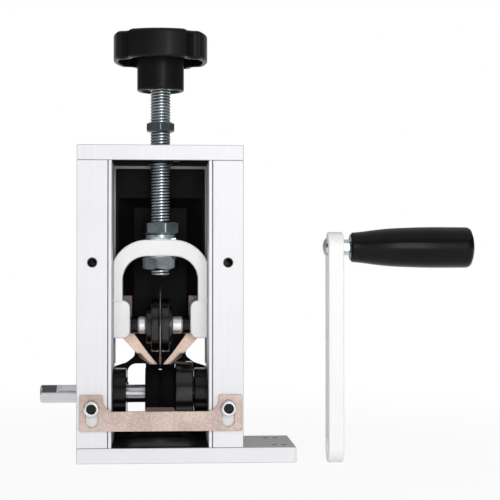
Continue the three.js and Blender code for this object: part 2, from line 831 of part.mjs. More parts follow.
function yokeOutline() {
  const inside = yokeHalf - yoke.armThickness;
  const corner = yoke.footCorner;
  const shoulderStart = Math.acos((yokeHalf - yoke.crownHalf) / yoke.shoulder);
  const shape = new THREE.Shape();
  shape.moveTo(yokeHalf - yoke.heel, 0);
  shape.absarc(yokeHalf - yoke.heel, yoke.heel, yoke.heel, -quarterTurn, 0);
  shape.absarc(yoke.crownHalf, yokeCrown - yoke.shoulder, yoke.shoulder, shoulderStart, quarterTurn);
  shape.absarc(-yoke.crownHalf, yokeCrown - yoke.shoulder, yoke.shoulder, quarterTurn, Math.PI - shoulderStart);
  shape.absarc(-yokeHalf + yoke.heel, yoke.heel, yoke.heel, Math.PI, Math.PI + quarterTurn);
  shape.absarc(-footInner - corner, corner, corner, -quarterTurn, 0);
  shape.absarc(-footInner - corner, yokeFootTop - corner, corner, 0, quarterTurn);
  shape.lineTo(-inside, yokeFootTop);
  shape.absarc(-inside + yoke.archCorner, yokeArchTop - yoke.archCorner, yoke.archCorner,
    Math.PI, quarterTurn, true);
  shape.absarc(inside - yoke.archCorner, yokeArchTop - yoke.archCorner, yoke.archCorner,
    quarterTurn, 0, true);
  shape.lineTo(inside, yokeFootTop);
  shape.absarc(footInner + corner, yokeFootTop - corner, corner, quarterTurn, Math.PI);
  shape.absarc(footInner + corner, corner, corner, Math.PI, Math.PI + quarterTurn);
  shape.closePath();
  return shape;
}

function yokeBody() {
  const halfYoke = yoke.depth / 2;
  const body = pushed(yokeOutline(), yoke.depth, standing).translate([0, halfYoke, 0]);
  const spindleBore = round(
    spindleRadius + runningGap, yokeArchTop - cutOver, yokeCrown + cutOver, roundSides, upright);
  const axleBore = round(axleRadius + seatGap, -yokeHalf - cutOver, yokeHalf + cutOver, roundSides, sideways)
    .translate([0, 0, axleAboveFoot]);
  const guideBore = round(
    smallScrew.shank + seatGap, -guide.screwInset, cutOver, smallSides, headBack);
  const guideBores = spread(guideBore, guideScrewPlaces(halfYoke));
  return body.subtract(spindleBore).subtract(axleBore).subtract(guideBores);
}

function guideScrewPlaces(y) {
  const x = (guide.tabInner + guide.tabOuter) / 2;
  return [-1, 1].map((side) => [side * x, y, guide.screwHeight]);
}

// One leg of the V: a tab on the yoke's foot, a slanting arm and a tapering tip beside the blade
function guideOutline(side) {
  const points = [
    [guide.tabInner, guide.tabTop],
    [guide.tabOuter, guide.tabTop],
    [guide.tabOuter, guide.neckInnerHeight],
    [guide.neckOuter, -guide.neckOuterDrop],
    [guide.elbowOuter, -guide.elbowOuterDrop],
    [guide.tipOuter, -guide.tipDrop],
    [guide.tipInner, -guide.tipDrop],
    [guide.elbowInner, -guide.elbowInnerDrop],
    [guide.neckInner, guide.neckInnerHeight],
    [guide.tabInner, guide.neckInnerHeight + guide.tabInner - guide.neckInner],
  ];
  return outlineOf(points.map(([x, z]) => [side * x, z]));
}

function vGuide(side) {
  const back = yoke.depth / 2 + guide.thickness;
  const hole = round(
    smallScrew.shank + seatGap, -guide.thickness - cutOver, cutOver, smallSides, headBack);
  const body = pushed(guideOutline(side), guide.thickness, standing).translate([0, back, 0]);
  return body.subtract(spread(hole, guideScrewPlaces(back)));
}

function guideScrew() {
  return capScrew(smallScrew, guide.thickness + guide.screwInset - seatGap, headBack);
}

// The blade stack lies between two fixed spacers on the axle
const flangeInner = blade.thickness / 2 + seatGap;
const flangeOuter = flangeInner + flange.width;
const leftStackEnd = flangeOuter + hub.leftWidth;
const rightStackEnd = flangeOuter + hub.rightWidth;

function axlePin() {
  return disc(
    axleRadius, -yokeHalf + runningGap, yokeHalf - runningGap, axleChamfer, roundSides, sideways);
}

function axleRing(size, from, to) {
  const [low, high] = from < to ? [from, to] : [to, from];
  return disc(size.radius, low, high, size.rim, roundSides, sideways)
    .subtract(round(axleRadius + seatGap, low - cutOver, high + cutOver, roundSides, sideways));
}

// Clamping flange with a smaller hub step on its outer side
function bladeFlange(side, end) {
  const from = side * flangeInner;
  const step = side * flangeOuter;
  const profile = [
    [from, flange.radius - flange.rim],
    [from + side * flange.rim, flange.radius],
    [step - side * flange.rim, flange.radius],
    [step, flange.radius - flange.rim],
    [step, hub.radius],
    [side * (end - hub.rim), hub.radius],
    [side * end, hub.radius - hub.rim],
  ];
  const body = turned(side < 0 ? profile.reverse() : profile, fineSides, sideways);
  return body.subtract(round(bushing.radius + seatGap, -end - cutOver, end + cutOver, roundSides, sideways));
}

function bladeDisc() {
  const half = blade.thickness / 2;
  const edge = blade.edge / 2;
  const body = turned([
    [-half, blade.radius - blade.bevel],
    [-edge, blade.radius],
    [edge, blade.radius],
    [half, blade.radius - blade.bevel],
  ], fineSides, sideways);
  const bore = round(bushing.radius + seatGap, -half - cutOver, half + cutOver, roundSides, sideways);
  return body.subtract(bore);
}

function bladeBushing() {
  const from = -leftStackEnd;
  const to = rightStackEnd;
  return round(bushing.radius, from, to, roundSides, sideways)
    .subtract(round(axleRadius + runningGap, from - cutOver, to + cutOver, roundSides, sideways));
}

// Heights along the feed spindle, above the bench
const lowerNutBottom = archTop - runningGap - nut.height;
const washerBottom = yokeTop + runningGap;
const topNutBottom = washerBottom + lockWasher.height;
const jamNutBottom = frameTop + jamNut.abovePlate;
const knobBottom = frameTop + knob.clearOfPlate;
const spindleBottom = lowerNutBottom - spindleTail;
const insertBottom = knobBottom + knob.recessDepth;
const spindleTop = insertBottom + insert.height - seatGap;

function springWasher() {
  const ring = round(lockWasher.radius, 0, lockWasher.height, roundSides, upright)
    .subtract(round(spindleRadius + seatGap, -cutOver, lockWasher.height + cutOver, roundSides, upright));
  const reach = lockWasher.radius + cutOver;
  const split = block([0, reach], [-lockWasher.split / 2, lockWasher.split / 2],
    [-cutOver, lockWasher.height + cutOver]);
  return ring.subtract(split);
}

// Lobed outline: arcs of the lobes joined by the hollow arcs of the notches
function lobedOutline(offset, lobeRadius, notchRadius) {
  const half = Math.PI / knob.lobes;
  const reach = lobeRadius + notchRadius;
  const along = offset * Math.cos(half);
  const notchDistance = along + Math.sqrt(reach * reach - offset * offset + along * along);
  const notchTurn = Math.atan2(notchDistance * Math.sin(half), notchDistance * Math.cos(half) - offset);
  const shape = new THREE.Shape();
  for (let index = 0; index < knob.lobes; index += 1) {
    const direction = knob.turn - quarterTurn + index * half * 2;
    const notchDirection = direction + half;
    const notchSweep = notchTurn - half;
    shape.absarc(offset * Math.cos(direction), offset * Math.sin(direction), lobeRadius,
      direction - notchTurn, direction + notchTurn);
    shape.absarc(
      notchDistance * Math.cos(notchDirection), notchDistance * Math.sin(notchDirection), notchRadius,
      notchDirection + Math.PI + notchSweep, notchDirection + Math.PI - notchSweep, true);
  }
  shape.closePath();
  return shape;
}

function knobHead() {
  const inset = knob.edgeRound;
  const geometry = new THREE.ExtrudeGeometry(
    lobedOutline(knob.lobeOffset, knob.lobeRadius - inset, knob.notchRadius + inset),
    {
      depth: knob.headHeight - inset * 2,
      bevelThickness: inset,
      bevelSize: inset,
      bevelSegments: roundedEdgeSteps,
      curveSegments: arcSteps,
    });
  geometry.translate(0, 0, knob.hubHeight + inset);
  return toSolid(geometry);
}

function starKnob() {
  const hubPart = turned([
    [0, knob.hubRadius - knob.hubChamfer],
    [knob.hubChamfer, knob.hubRadius],
    [knob.hubHeight + knob.headHeight - knob.edgeRound, knob.hubRadius],
  ], fineSides, upright);
  const wall = knob.rimWall;
  const hollow = pushed(lobedOutline(knob.lobeOffset, knob.lobeRadius - wall, knob.notchRadius + wall),
    knob.hollowDepth + cutOver, upright).translate([0, 0, knob.hubHeight - cutOver]);
  const recess = round(knob.hubRadius - knob.recessRim, -cutOver, knob.recessDepth, roundSides, upright);
  const pocket = round(
    insert.radius + seatGap, 0, knob.recessDepth + insert.height + seatGap, roundSides, upright);
  return knobHead().subtract(hollow).add(hubPart).subtract(recess).subtract(pocket);
}

function knobInsert() {
  return pushed(hexagon(insert.radius * Math.sqrt(3), 0), insert.height, upright)
    .subtract(round(spindleRadius + seatGap, -cutOver, insert.height + cutOver, roundSides, upright));
}

// Crank pieces are drawn about the arm's foot, with the arm standing up
const gripAxisHeight = crank.armLength - crank.boreInset;
const armSide = crank.armThickness / 2;
const gripStart = armSide + gripNut.height + runningGap;

function crankArm() {
  const endRadius = crank.armWidth / 2;
  const shape = new THREE.Shape();
  shape.absarc(0, endRadius, endRadius, Math.PI, Math.PI * 2);
  shape.absarc(0, crank.armLength - endRadius, endRadius, 0, Math.PI);
  shape.closePath();
  const body = pushed(shape, crank.armThickness, sideways).translate([-armSide, 0, 0]);
  const across = (radius, height) => round(
    radius, -armSide - cutOver, armSide + cutOver, roundSides, sideways).translate([0, 0, height]);
  const shaftSocket = across(shaftRadius + runningGap, crank.boreInset);
  const boltHole = across(gripBolt.radius + seatGap, gripAxisHeight);
  const tapped = round(grubScrew.radius + seatGap, 0, endRadius + cutOver, smallSides, headFront)
    .translate([0, 0, crank.boreInset]);
  return body.subtract(shaftSocket).subtract(boltHole).subtract(tapped);
}

function crankSetScrew() {
  const inner = shaftRadius + runningGap;
  const outer = crank.armWidth / 2 - seatGap;
  const socket = pushed(hexagon(grubScrew.socket * 2, 0), grubScrew.socketDepth + cutOver, upright)
    .translate([0, 0, outer - grubScrew.socketDepth])
    .rotate([90, 0, 0]);
  return round(grubScrew.radius, inner, outer, smallSides, headFront).subtract(socket);
}

function gripBoltBody() {
  const end = gripStart + grip.length - grip.boreEnd;
  return turned([
    [-armSide - gripBolt.domeHeight, gripBolt.domeTop],
    [-armSide - gripBolt.domeHeight / 2, gripBolt.domeShoulder],
    [-armSide, gripBolt.domeRadius],
    [-armSide, gripBolt.radius],
    [end - gripBolt.chamfer, gripBolt.radius],
    [end, gripBolt.radius - gripBolt.chamfer],
  ], roundSides, sideways);
}

function gripBody() {
  const far = gripStart + grip.length;
  const at = (share) => gripStart + grip.length * share;
  const middleShare = (grip.midShare + grip.fullShare) / 2;
  const body = turned([
    [gripStart, grip.smallRadius - grip.neckRound],
    [gripStart + grip.neckTaper, grip.smallRadius - grip.neckTaper],
    [gripStart + grip.neckRound, grip.smallRadius],
    [at(grip.midShare / 2), (grip.smallRadius + grip.midRadius) / 2],
    [at(grip.midShare), grip.midRadius],
    [at(middleShare), (grip.midRadius + grip.bigRadius) / 2],
    [at(grip.fullShare), grip.bigRadius],
    [far - grip.round, grip.bigRadius],
    [far - grip.endTaper, grip.bigRadius - grip.endTaper],
    [far, grip.bigRadius - grip.round],
  ], fineSides, sideways);
  const boreFar = far - grip.boreEnd + runningGap;
  const bore = round(gripBolt.radius + runningGap, gripStart - cutOver, boreFar, roundSides, sideways);
  return body.subtract(bore);
}

const sides = { left: -1, right: 1 };
const both = (build) => Object.entries(sides).map(([word, side]) => build(word, side));

const frameGroup = assembly(new THREE.Vector3(),
  piece('base_plate', basePlate(), 'aluminium'),
  ...both((word, side) => piece(`${word}_upright`, uprightPost(side), 'aluminium')),
  ...both((word, side) => piece(`${word}_guide_strip`, guideStrip(side), 'aluminium')),
  piece('top_plate', topPlate(), 'aluminium'),
  ...fasteners('top_screw', topScrew, framePlaces(frameTop), 'stainless'),
  ...fasteners('base_screw', baseScrew, framePlaces(frameScrew.headHeight + seatGap), 'stainless'),
  piece('floor_liner', floorLiner(), 'blackRubber'),
  piece('cover_frame', coverArch(), 'aluminium'),
  piece('rear_cover', rearCover(), 'blackSteel'),
  ...fasteners('cover_screw', coverScrew, coverScrewPlaces(uprightTop - cover.sheet), 'stainless'),
  piece('rear_bridge', rearBridge(), 'blackSteel'),
  ...fasteners('bridge_screw', bridgeScrew, footScrewPlaces(bridgeFootTop), 'blackSteel'),
  piece('front_guide_plate', guidePlate(), 'copperPlate'),
  ...fasteners('guide_plate_screw', plateScrew, plateScrewPlaces, 'stainless'),
);

const driveGroup = assembly(new THREE.Vector3(0, 0, driveHeight),
  ...both((word, side) => piece(`${word}_bearing_housing`, bearingHousing(side), 'blackSteel')),
  ...both((word, side) => piece(`${word}_bearing`, ballBearing(side), 'brightSteel')),
  piece('drive_shaft', driveShaft(), 'brightSteel'),
  piece('drive_wheel', driveWheel(), 'blackSteel'),
  piece('drive_sleeve', driveSleeve(), 'blackSteel'),
  piece('sleeve_set_screw', sleeveSetScrew(), 'blackSteel'),
);

const collarOuter = footInner - seatGap;
const collarInner = collarOuter - collar.width;

const bladeGroup = assembly(new THREE.Vector3(0, 0, axleAboveFoot),
  piece('blade_axle', axlePin(), 'blackSteel'),
  piece('left_collar', axleRing(collar, -collarInner, -collarOuter), 'blackSteel'),
  piece('right_collar', axleRing(collar, collarInner, collarOuter), 'blackSteel'),
  piece('left_spacer', axleRing(spacer, -leftStackEnd - runningGap, -collarInner + seatGap), 'stainless'),
  piece('right_spacer', axleRing(spacer, rightStackEnd + runningGap, collarInner - seatGap), 'stainless'),
  piece('blade', bladeDisc(), 'brightSteel'),
  piece('left_blade_flange', bladeFlange(-1, leftStackEnd), 'blackSteel'),
  piece('right_blade_flange', bladeFlange(1, rightStackEnd), 'blackSteel'),
  piece('blade_bushing', bladeBushing(), 'brass'),
);

const yokeGroup = assembly(new THREE.Vector3(0, 0, footBottom),
  piece('yoke', yokeBody(), 'castSilver'),
  ...both((word, side) => piece(`${word}_v_guide`, vGuide(side), 'copperPlate')),
  ...fasteners('v_guide_screw', guideScrew, guideScrewPlaces(yoke.depth / 2 + guide.thickness), 'stainless'),
  bladeGroup,
);

const boreOfNuts = spindleRadius + seatGap;
const spindleGroup = assembly(new THREE.Vector3(),
  piece('feed_spindle',
    disc(spindleRadius, spindleBottom, spindleTop, spindleChamfer, roundSides, upright), 'zincSteel'),
  assembly(new THREE.Vector3(0, 0, lowerNutBottom),
    piece('lower_nut', hexNut(nut.acrossFlats, nut.height, boreOfNuts, nut.turn, upright), 'zincSteel')),
  assembly(new THREE.Vector3(0, 0, washerBottom),
    piece('spring_washer', springWasher(), 'zincSteel')),
  assembly(new THREE.Vector3(0, 0, topNutBottom),
    piece('upper_nut', hexNut(topNut.acrossFlats, topNut.height, boreOfNuts, topNut.turn, upright), 'zincSteel')),
  assembly(new THREE.Vector3(0, 0, jamNutBottom),
    piece('jam_nut',
      hexNut(jamNut.acrossFlats, jamNut.height, boreOfNuts, quarterTurn, upright), 'zincSteel')),
  assembly(new THREE.Vector3(0, 0, insertBottom),
    piece('knob_insert', knobInsert(), 'brass')),
  assembly(new THREE.Vector3(0, 0, knobBottom),
    piece('star_knob', starKnob(), 'blackPlastic')),
);

const gripGroup = assembly(new THREE.Vector3(0, 0, gripAxisHeight),
  piece('grip_bolt', gripBoltBody(), 'brightSteel'),
  assembly(new THREE.Vector3(armSide, 0, 0),
    piece('grip_nut',
      hexNut(gripNut.acrossFlats, gripNut.height, gripBolt.radius + seatGap, 0, sideways), 'zincSteel')),
  piece('crank_grip', gripBody(), 'glossPlastic'),
);

const crankGroup = assembly(new THREE.Vector3(crank.standX, -halfDepth, 0),
  piece('crank_arm', crankArm(), 'castSilver'),
  assembly(new THREE.Vector3(0, 0, crank.boreInset),
    piece('crank_set_screw', crankSetScrew(), 'blackSteel')),
  gripGroup,
);

const wireStripper = new THREE.Group();
wireStripper.add(frameGroup, driveGroup, yokeGroup, spindleGroup, crankGroup);

export default wireStripper;
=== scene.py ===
import json
import math

import bmesh
import bpy
import numpy as np
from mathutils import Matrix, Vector
from mathutils.geometry import tessellate_polygon

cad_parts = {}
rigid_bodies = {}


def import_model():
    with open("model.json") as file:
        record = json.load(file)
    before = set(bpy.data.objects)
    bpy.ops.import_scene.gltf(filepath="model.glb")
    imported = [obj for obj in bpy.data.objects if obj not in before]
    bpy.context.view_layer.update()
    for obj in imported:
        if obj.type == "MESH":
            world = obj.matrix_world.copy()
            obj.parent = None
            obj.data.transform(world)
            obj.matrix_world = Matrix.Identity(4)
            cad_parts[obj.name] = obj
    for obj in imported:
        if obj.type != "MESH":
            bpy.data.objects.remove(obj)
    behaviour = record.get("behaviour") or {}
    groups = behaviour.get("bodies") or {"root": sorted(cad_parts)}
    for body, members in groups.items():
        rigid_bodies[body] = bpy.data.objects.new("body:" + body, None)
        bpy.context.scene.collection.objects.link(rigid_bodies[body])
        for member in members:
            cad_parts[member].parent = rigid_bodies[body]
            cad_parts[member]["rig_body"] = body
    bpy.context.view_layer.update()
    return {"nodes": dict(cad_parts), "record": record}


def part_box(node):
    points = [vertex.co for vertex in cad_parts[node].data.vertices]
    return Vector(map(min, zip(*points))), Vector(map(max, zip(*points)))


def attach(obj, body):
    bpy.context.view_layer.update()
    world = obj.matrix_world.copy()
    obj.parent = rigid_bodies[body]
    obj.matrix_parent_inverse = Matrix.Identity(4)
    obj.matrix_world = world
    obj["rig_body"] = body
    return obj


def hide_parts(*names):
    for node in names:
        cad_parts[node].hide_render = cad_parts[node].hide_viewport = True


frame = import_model()
nodes = frame["nodes"]
slotOf = {part["node"]: part["material_slot"] for part in frame["record"]["subparts"]}
mm = 0.001  # every size below is in millimetres
fullTurn = 2 * math.pi
hands = (("left", -1, 1), ("right", 1, 2))  # word, side, and the number of its screw
print("frame loaded:", len(nodes), "nodes")


def added(name, data):  # a new object in the scene
    made = bpy.data.objects.new(name, data)
    bpy.context.scene.collection.objects.link(made)
    return made


# The camera stands in front of the frame, a little above half its height
view = {"place": (0, -933, 122.6), "turnRight": 3.70, "tiltUp": 0.99, "lens": 99.8, "sensor": 36}

camera = added("camera", bpy.data.cameras.new("camera"))
camera.data.lens = view["lens"]
camera.data.sensor_width = view["sensor"]
camera.data.clip_end = 20
camera.location = Vector(view["place"]) * mm
camera.rotation_euler = (math.radians(90 + view["tiltUp"]), 0, -math.radians(view["turnRight"]))
bpy.context.scene.camera = camera


class Wire:  # an output socket that takes part in Python sums
    def __init__(self, look, socket):
        self.look, self.socket = look, socket

    def math(self, operation, *others):
        return self.look.node("ShaderNodeMath", {"operation": operation}, [self, *others])

    def vector(self, operation, *others, output=0):
        return self.look.node("ShaderNodeVectorMath", {"operation": operation}, [self, *others], output)

    def __add__(self, other):
        return self.math("ADD", other)

    def __sub__(self, other):
        return self.math("SUBTRACT", other)

    def __rsub__(self, other):
        return self * -1 + other

    def __mul__(self, other):
        return self.math("MULTIPLY", other)

    __radd__ = __add__
    __rmul__ = __mul__

    def step(self, low, high, start=0, end=1):  # a smooth rise from start to end between low and high
        return self.look.node("ShaderNodeMapRange", {"interpolation_type": "SMOOTHSTEP"},
            [self, low, high, start, end])

    def part(self, index):  # one of the three numbers of a vector
        return self.look.node("ShaderNodeSeparateXYZ", {}, [self], index)


class Shading:  # a node tree and the one method that adds its nodes
    def __init__(self, tree):
        self.tree = tree

    def node(self, kind, settings, inputs, output=0):
        made = self.tree.nodes.new(kind)
        for key, value in settings.items():
            setattr(made, key, value)
        for key, value in (inputs.items() if isinstance(inputs, dict) else enumerate(inputs)):
            self.feed(made.inputs[key], value)
        return Wire(self, made.outputs[output])

    def feed(self, socket, value):
        if isinstance(value, Wire):
            self.tree.links.new(value.socket, socket)
        else:
            socket.default_value = value

    def ray(self, kind):  # 1 for rays of one kind, such as "Camera"
        return self.node("ShaderNodeLightPath", {}, {}, f"Is {kind} Ray")

    def place(self, kind="Object"):
        return self.node("ShaderNodeTexCoord", {}, {}, kind)

    def mix(self, share, first, second):
        return self.node("ShaderNodeMix", {"data_type": "RGBA"}, {0: share, 6: first, 7: second}, 2)

    def noise(self, scale, detail=3, roughness=0.5):  # scale: spots per metre, all ways or along x, y and z
        scale = scale if isinstance(scale, tuple) else (scale,) * 3
        stretched = self.node("ShaderNodeMapping", {}, {"Vector": self.place(), "Scale": scale})
        return self.node("ShaderNodeTexNoise", {},
            {"Vector": stretched, "Scale": 1, "Detail": detail, "Roughness": roughness})


class Look(Shading):  # a material: what varies is driven, what is constant is fixed
    def __init__(self, name, **fixed):
        self.material = bpy.data.materials.new(name)
        self.material.use_nodes = True
        super().__init__(self.material.node_tree)
        self.shader = self.tree.nodes["Principled BSDF"]
        for socket, value in fixed.items():
            self.shader.inputs[socket.replace("_", " ")].default_value = value

    def drive(self, name, wire):
        self.feed(self.shader.inputs[name], wire)

    def colour(self):  # what drives the base colour so far
        return Wire(self, self.shader.inputs["Base Color"].links[0].from_socket)

    def paint(self, share, *ends):  # the base colour runs between two tones, or a tone and a wire
        self.drive("Base Color", self.mix(share, *(tone(*end) if isinstance(end, tuple) else end for end in ends)))

    def bump(self, height, strength, depth):
        self.drive("Normal", self.node("ShaderNodeBump", {},
            {"Height": height, "Strength": strength, "Distance": depth * mm}))


def tone(red, green, blue):  # a colour as a picture shows it, made linear for the shader
    share = np.array([red, green, blue]) / 255
    linear = np.where(share < 0.04, share / 12.92, ((share + 0.055) / 1.055) ** 2.4)
    return (*linear.tolist(), 1)


def drawnMetal(name, pale, deep, rough, lines, metal=1.0, spread=0.08):
    # colour = mix of two tones by fine drawn lines plus slow clouds; the lines also vary the roughness
    look = Look(name, Metallic=metal)
    drawn = look.noise(lines, 4, 0.6)
    cloud = look.noise(30, 3)
    look.paint((drawn * 0.6 + cloud * 0.4).step(0.3, 0.7), deep, pale)
    look.drive("Roughness", drawn * spread + (rough - spread / 2))
    look.bump(drawn, 0.25, 0.01)
    return look


def plateMetal(name, rough, lines, metal, top=None):
    # aluminium whose rounded edges, where the normal leaves all three axes, are painted darker: painted shade
    look = drawnMetal(name, (238, 238, 240), (232, 232, 235), rough, lines, metal, 0.05)
    facing = look.place("Normal").vector("ABSOLUTE")
    flat = facing.part(0).math("MAXIMUM", facing.part(1)).math("MAXIMUM", facing.part(2))
    look.paint(flat.step(0.75, 0.99), (158, 158, 162), look.colour())
    # top: a darker tone painted on the faces that look up, painted shade on the top face
    if top:
        look.paint(facing.part(2).step(0.9, 0.99), look.colour(), top)
    return look


def milledShaft(name, flatWay, flatPaintedShade):
    # drawn steel whose milled flat, the faces near its end that look along flatWay, is painted dark: painted reflection
    look = drawnMetal(name, (214, 216, 219), (194, 196, 200), 0.24, (60, 2600, 2600))
    facing = look.place("Normal").vector("DOT_PRODUCT", flatWay, output="Value").step(0.97, 0.998)
    near = look.place().part(0).math("LESS_THAN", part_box("drive_shaft")[0][0] + 14.5 * mm)
    look.paint(facing * near, look.colour(), flatPaintedShade)
    return look


def blackMetal(name, tint, rough, grain, specular):
    # blackened steel: a dark skin with a faint mottle that also breaks up the sheen
    look = Look(name, Specular_IOR_Level=specular)
    mottle = look.noise(grain, 4, 0.6)
    slow = look.noise(60, 2)
    look.paint(slow.step(0.3, 0.7), tint, tuple(part * 1.4 for part in tint))
    look.drive("Roughness", mottle * 0.16 + (rough - 0.08))
    look.bump(mottle, 0.25, 0.008)
    return look


def copperSkin(name, pale, deep):
    # a thin copper wash: pink and grey clouds, fine rolling lines along x
    look = Look(name, Metallic=0.6)
    cloud = look.noise((600, 600, 650), 5, 0.62)
    patch = look.noise(60, 3)
    rolled = look.noise((120, 2500, 2500), 3)
    look.paint((cloud * 0.5 + patch * 0.4 + rolled * 0.1).step(0.38, 0.62), deep, pale)
    look.drive("Roughness", cloud * 0.2 + 0.3)
    look.bump(rolled, 0.25, 0.01)
    return look


def guideCopper(name, pale, deep, paintedShade):
    # copper painted dark on the folded back, the tabs above the foot and the arm's outer edge: painted shade
    look = copperSkin(name, pale, deep)
    front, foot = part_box("left_v_guide")[0][1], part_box("yoke")[0][2]
    back = look.place().part(1).step(front + 1 * mm, front + 4 * mm)
    rise = look.place().part(2) - foot
    tab = rise.step(2 * mm, 14 * mm, 0, 0.85)
    edge = {"aside": 12.5, "down": 9.5, "wayX": 0.759, "wayZ": 0.652}  # a point inside the arm's edge, and the way out
    aside = look.place().part(0).math("ABSOLUTE") - edge["aside"] * mm
    outward = aside * edge["wayX"] - (rise + edge["down"] * mm) * edge["wayZ"]
    rim = outward.step(0, 2.4 * mm) * (rise * -1).step(edge["down"] * mm, 11.5 * mm)
    look.paint(back.math("MAXIMUM", tab).math("MAXIMUM", rim), look.colour(), paintedShade)
    return look


def zincSkin(name, pale, deep):
    # bright zinc: a blue and a straw tint in turn, with small dull spots
    look = Look(name, Metallic=1)
    tint = look.noise(160, 2)
    spots = look.noise(1400, 2)
    look.paint(tint.step(0.3, 0.7), deep, pale)
    look.drive("Roughness", spots * 0.16 + 0.16)
    look.bump(spots, 0.15, 0.008)
    return look


def threadedZinc(name, core, crest):
    # bright zinc on the crests, darker grey in the roots as painted shade; the mix follows the distance from the axis
    look = zincSkin(name, (222, 232, 236), (196, 208, 214))
    away = look.place().vector("MULTIPLY", (1, 1, 0)).vector("LENGTH", output="Value")
    look.paint(away.step(core * mm, crest * mm), (116, 126, 132), look.colour())
    return look


def plastic(name, tint, rough, grain, depth, specular):
    # moulded plastic: an even dark body with a fine moulded grain
    look = Look(name, Specular_IOR_Level=specular, Coat_Roughness=0.12)
    skin = look.noise(grain, 3)
    slow = look.noise(40, 2)
    look.paint(slow.step(0.3, 0.7), tint, tuple(part + 4 for part in tint))
    look.drive("Roughness", skin * 0.12 + (rough - 0.06))
    look.drive("Coat Weight", slow * 0.1)
    look.bump(skin, 0.3, depth)
    return look


looks = {name: maker(name, *details) for name, (maker, *details) in {
    "plate_aluminium": (plateMetal, 0.46, (1200, 1200, 14), 0.35),
    # the base's top face gets a darker tone: painted shade
    "base_aluminium": (plateMetal, 0.5, (14, 1200, 1200), 0.3, (168, 168, 170)),
    "bright_casting": (drawnMetal, (254, 254, 253), (250, 250, 249), 0.5, 700, 0.1),
    "stainless": (drawnMetal, (232, 232, 233), (212, 212, 214), 0.34, 900, 0.75, 0.1),
    "spacer_steel": (drawnMetal, (254, 254, 254), (250, 251, 252), 0.42, 900, 0.8, 0.1),
    "shaded_aluminium": (drawnMetal, (166, 166, 168), (150, 150, 152), 0.45, (900, 900, 30), 0.5),
    "polished_steel": (drawnMetal, (214, 216, 219), (194, 196, 200), 0.24, (60, 2600, 2600)),
    # the flat is painted dark: painted reflection of a dark room
    "milled_shaft": (milledShaft, (0, -0.53, 0.848), (84, 82, 84)),
    "yellow_brass": (drawnMetal, (126, 108, 76), (98, 84, 58), 0.4, 600),
    "black_sheet": (blackMetal, (17, 17, 18), 0.5, 1800, 0.07),
    "wheel_black": (blackMetal, (8, 8, 8), 0.6, 1500, 0.06),
    "black_oxide": (blackMetal, (5, 5, 6), 0.2, 1200, 0.3),
    "turned_black": (blackMetal, (6, 6, 7), 0.2, 1200, 0.58),
    "copper_plating": (copperSkin, (216, 196, 187), (184, 163, 154)),
    # the last tone is painted shade on the folded back, the tabs and the arm's outer edge
    "guide_copper": (guideCopper, (246, 220, 203), (222, 195, 180), (52, 44, 41)),
    "zinc_steel": (zincSkin, (214, 226, 231), (180, 194, 200)),
    # a darker copy of the zinc: painted shade on the nut faces
    "nut_zinc": (zincSkin, (150, 161, 168), (124, 134, 141)),
    # the roots of the thread are painted darker: painted shade
    "threaded_zinc": (threadedZinc, 6.3, 6.75),
    "black_plastic": (plastic, (14, 14, 15), 0.38, 2600, 0.02, 0.16),
    "gloss_plastic": (plastic, (9, 9, 10), 0.24, 900, 0.008, 0.14),
    "black_rubber": (plastic, (13, 13, 14), 0.7, 1500, 0.03, 0.02),
}.items()}
print("materials ready:", len(looks))


def span(node):  # lowest and highest corner of a CAD node
    low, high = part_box(node)
    return np.array(low) / mm, np.array(high) / mm


def middle(node):
    low, high = span(node)
    return (low + high) / 2


def over(node, level=0):  # the point at this level that is in line with a node's middle
    return (*middle(node)[:2], level)


def directions(sides):
    return np.arange(sides) * fullTurn / sides


def gridFaces(rings, columns, closed):  # quads between neighbouring rings of points
    index = np.arange(rings * columns).reshape(rings, columns)
    if closed:
        index = np.vstack([index, index[:1]])
    beside = np.roll(index, -1, axis=1)
    return np.stack([index[:-1], beside[:-1], beside[1:], index[1:]], axis=-1).reshape(-1, 4)


def wound(along, radius, axis, centre=(0, 0, 0), ring=False):
    # point (k, j) lies at along[k, j] on the axis and radius[k, j] away from it, in direction j
    along, radius = np.broadcast_arrays(np.asarray(along, float), np.asarray(radius, float))
    rings, sides = radius.shape
    angle = directions(sides)
    points = np.stack([along, radius * np.cos(angle), radius * np.sin(angle)], axis=-1).reshape(-1, 3)
    blocks = [gridFaces(rings, sides, ring)]
    if not ring:  # both ends close on a pole
        first = np.arange(sides)
        last = first + (rings - 1) * sides
        pole = np.full(sides, rings * sides)
        points = np.vstack([points, [[along[0].mean(), 0, 0], [along[-1].mean(), 0, 0]]])
        blocks += [np.stack([np.roll(first, -1), first, pole], axis=-1),
            np.stack([last, np.roll(last, -1), pole + 1], axis=-1)]
    return np.roll(points, "xyz".index(axis), axis=1) + np.array(centre), blocks


def turned(profile, axis, centre=(0, 0, 0), sides=96, ring=False):
    # the profile's (along, radius) pairs carried once round the axis
    return wound(*rows(*profile, sides=sides), axis, centre, ring)


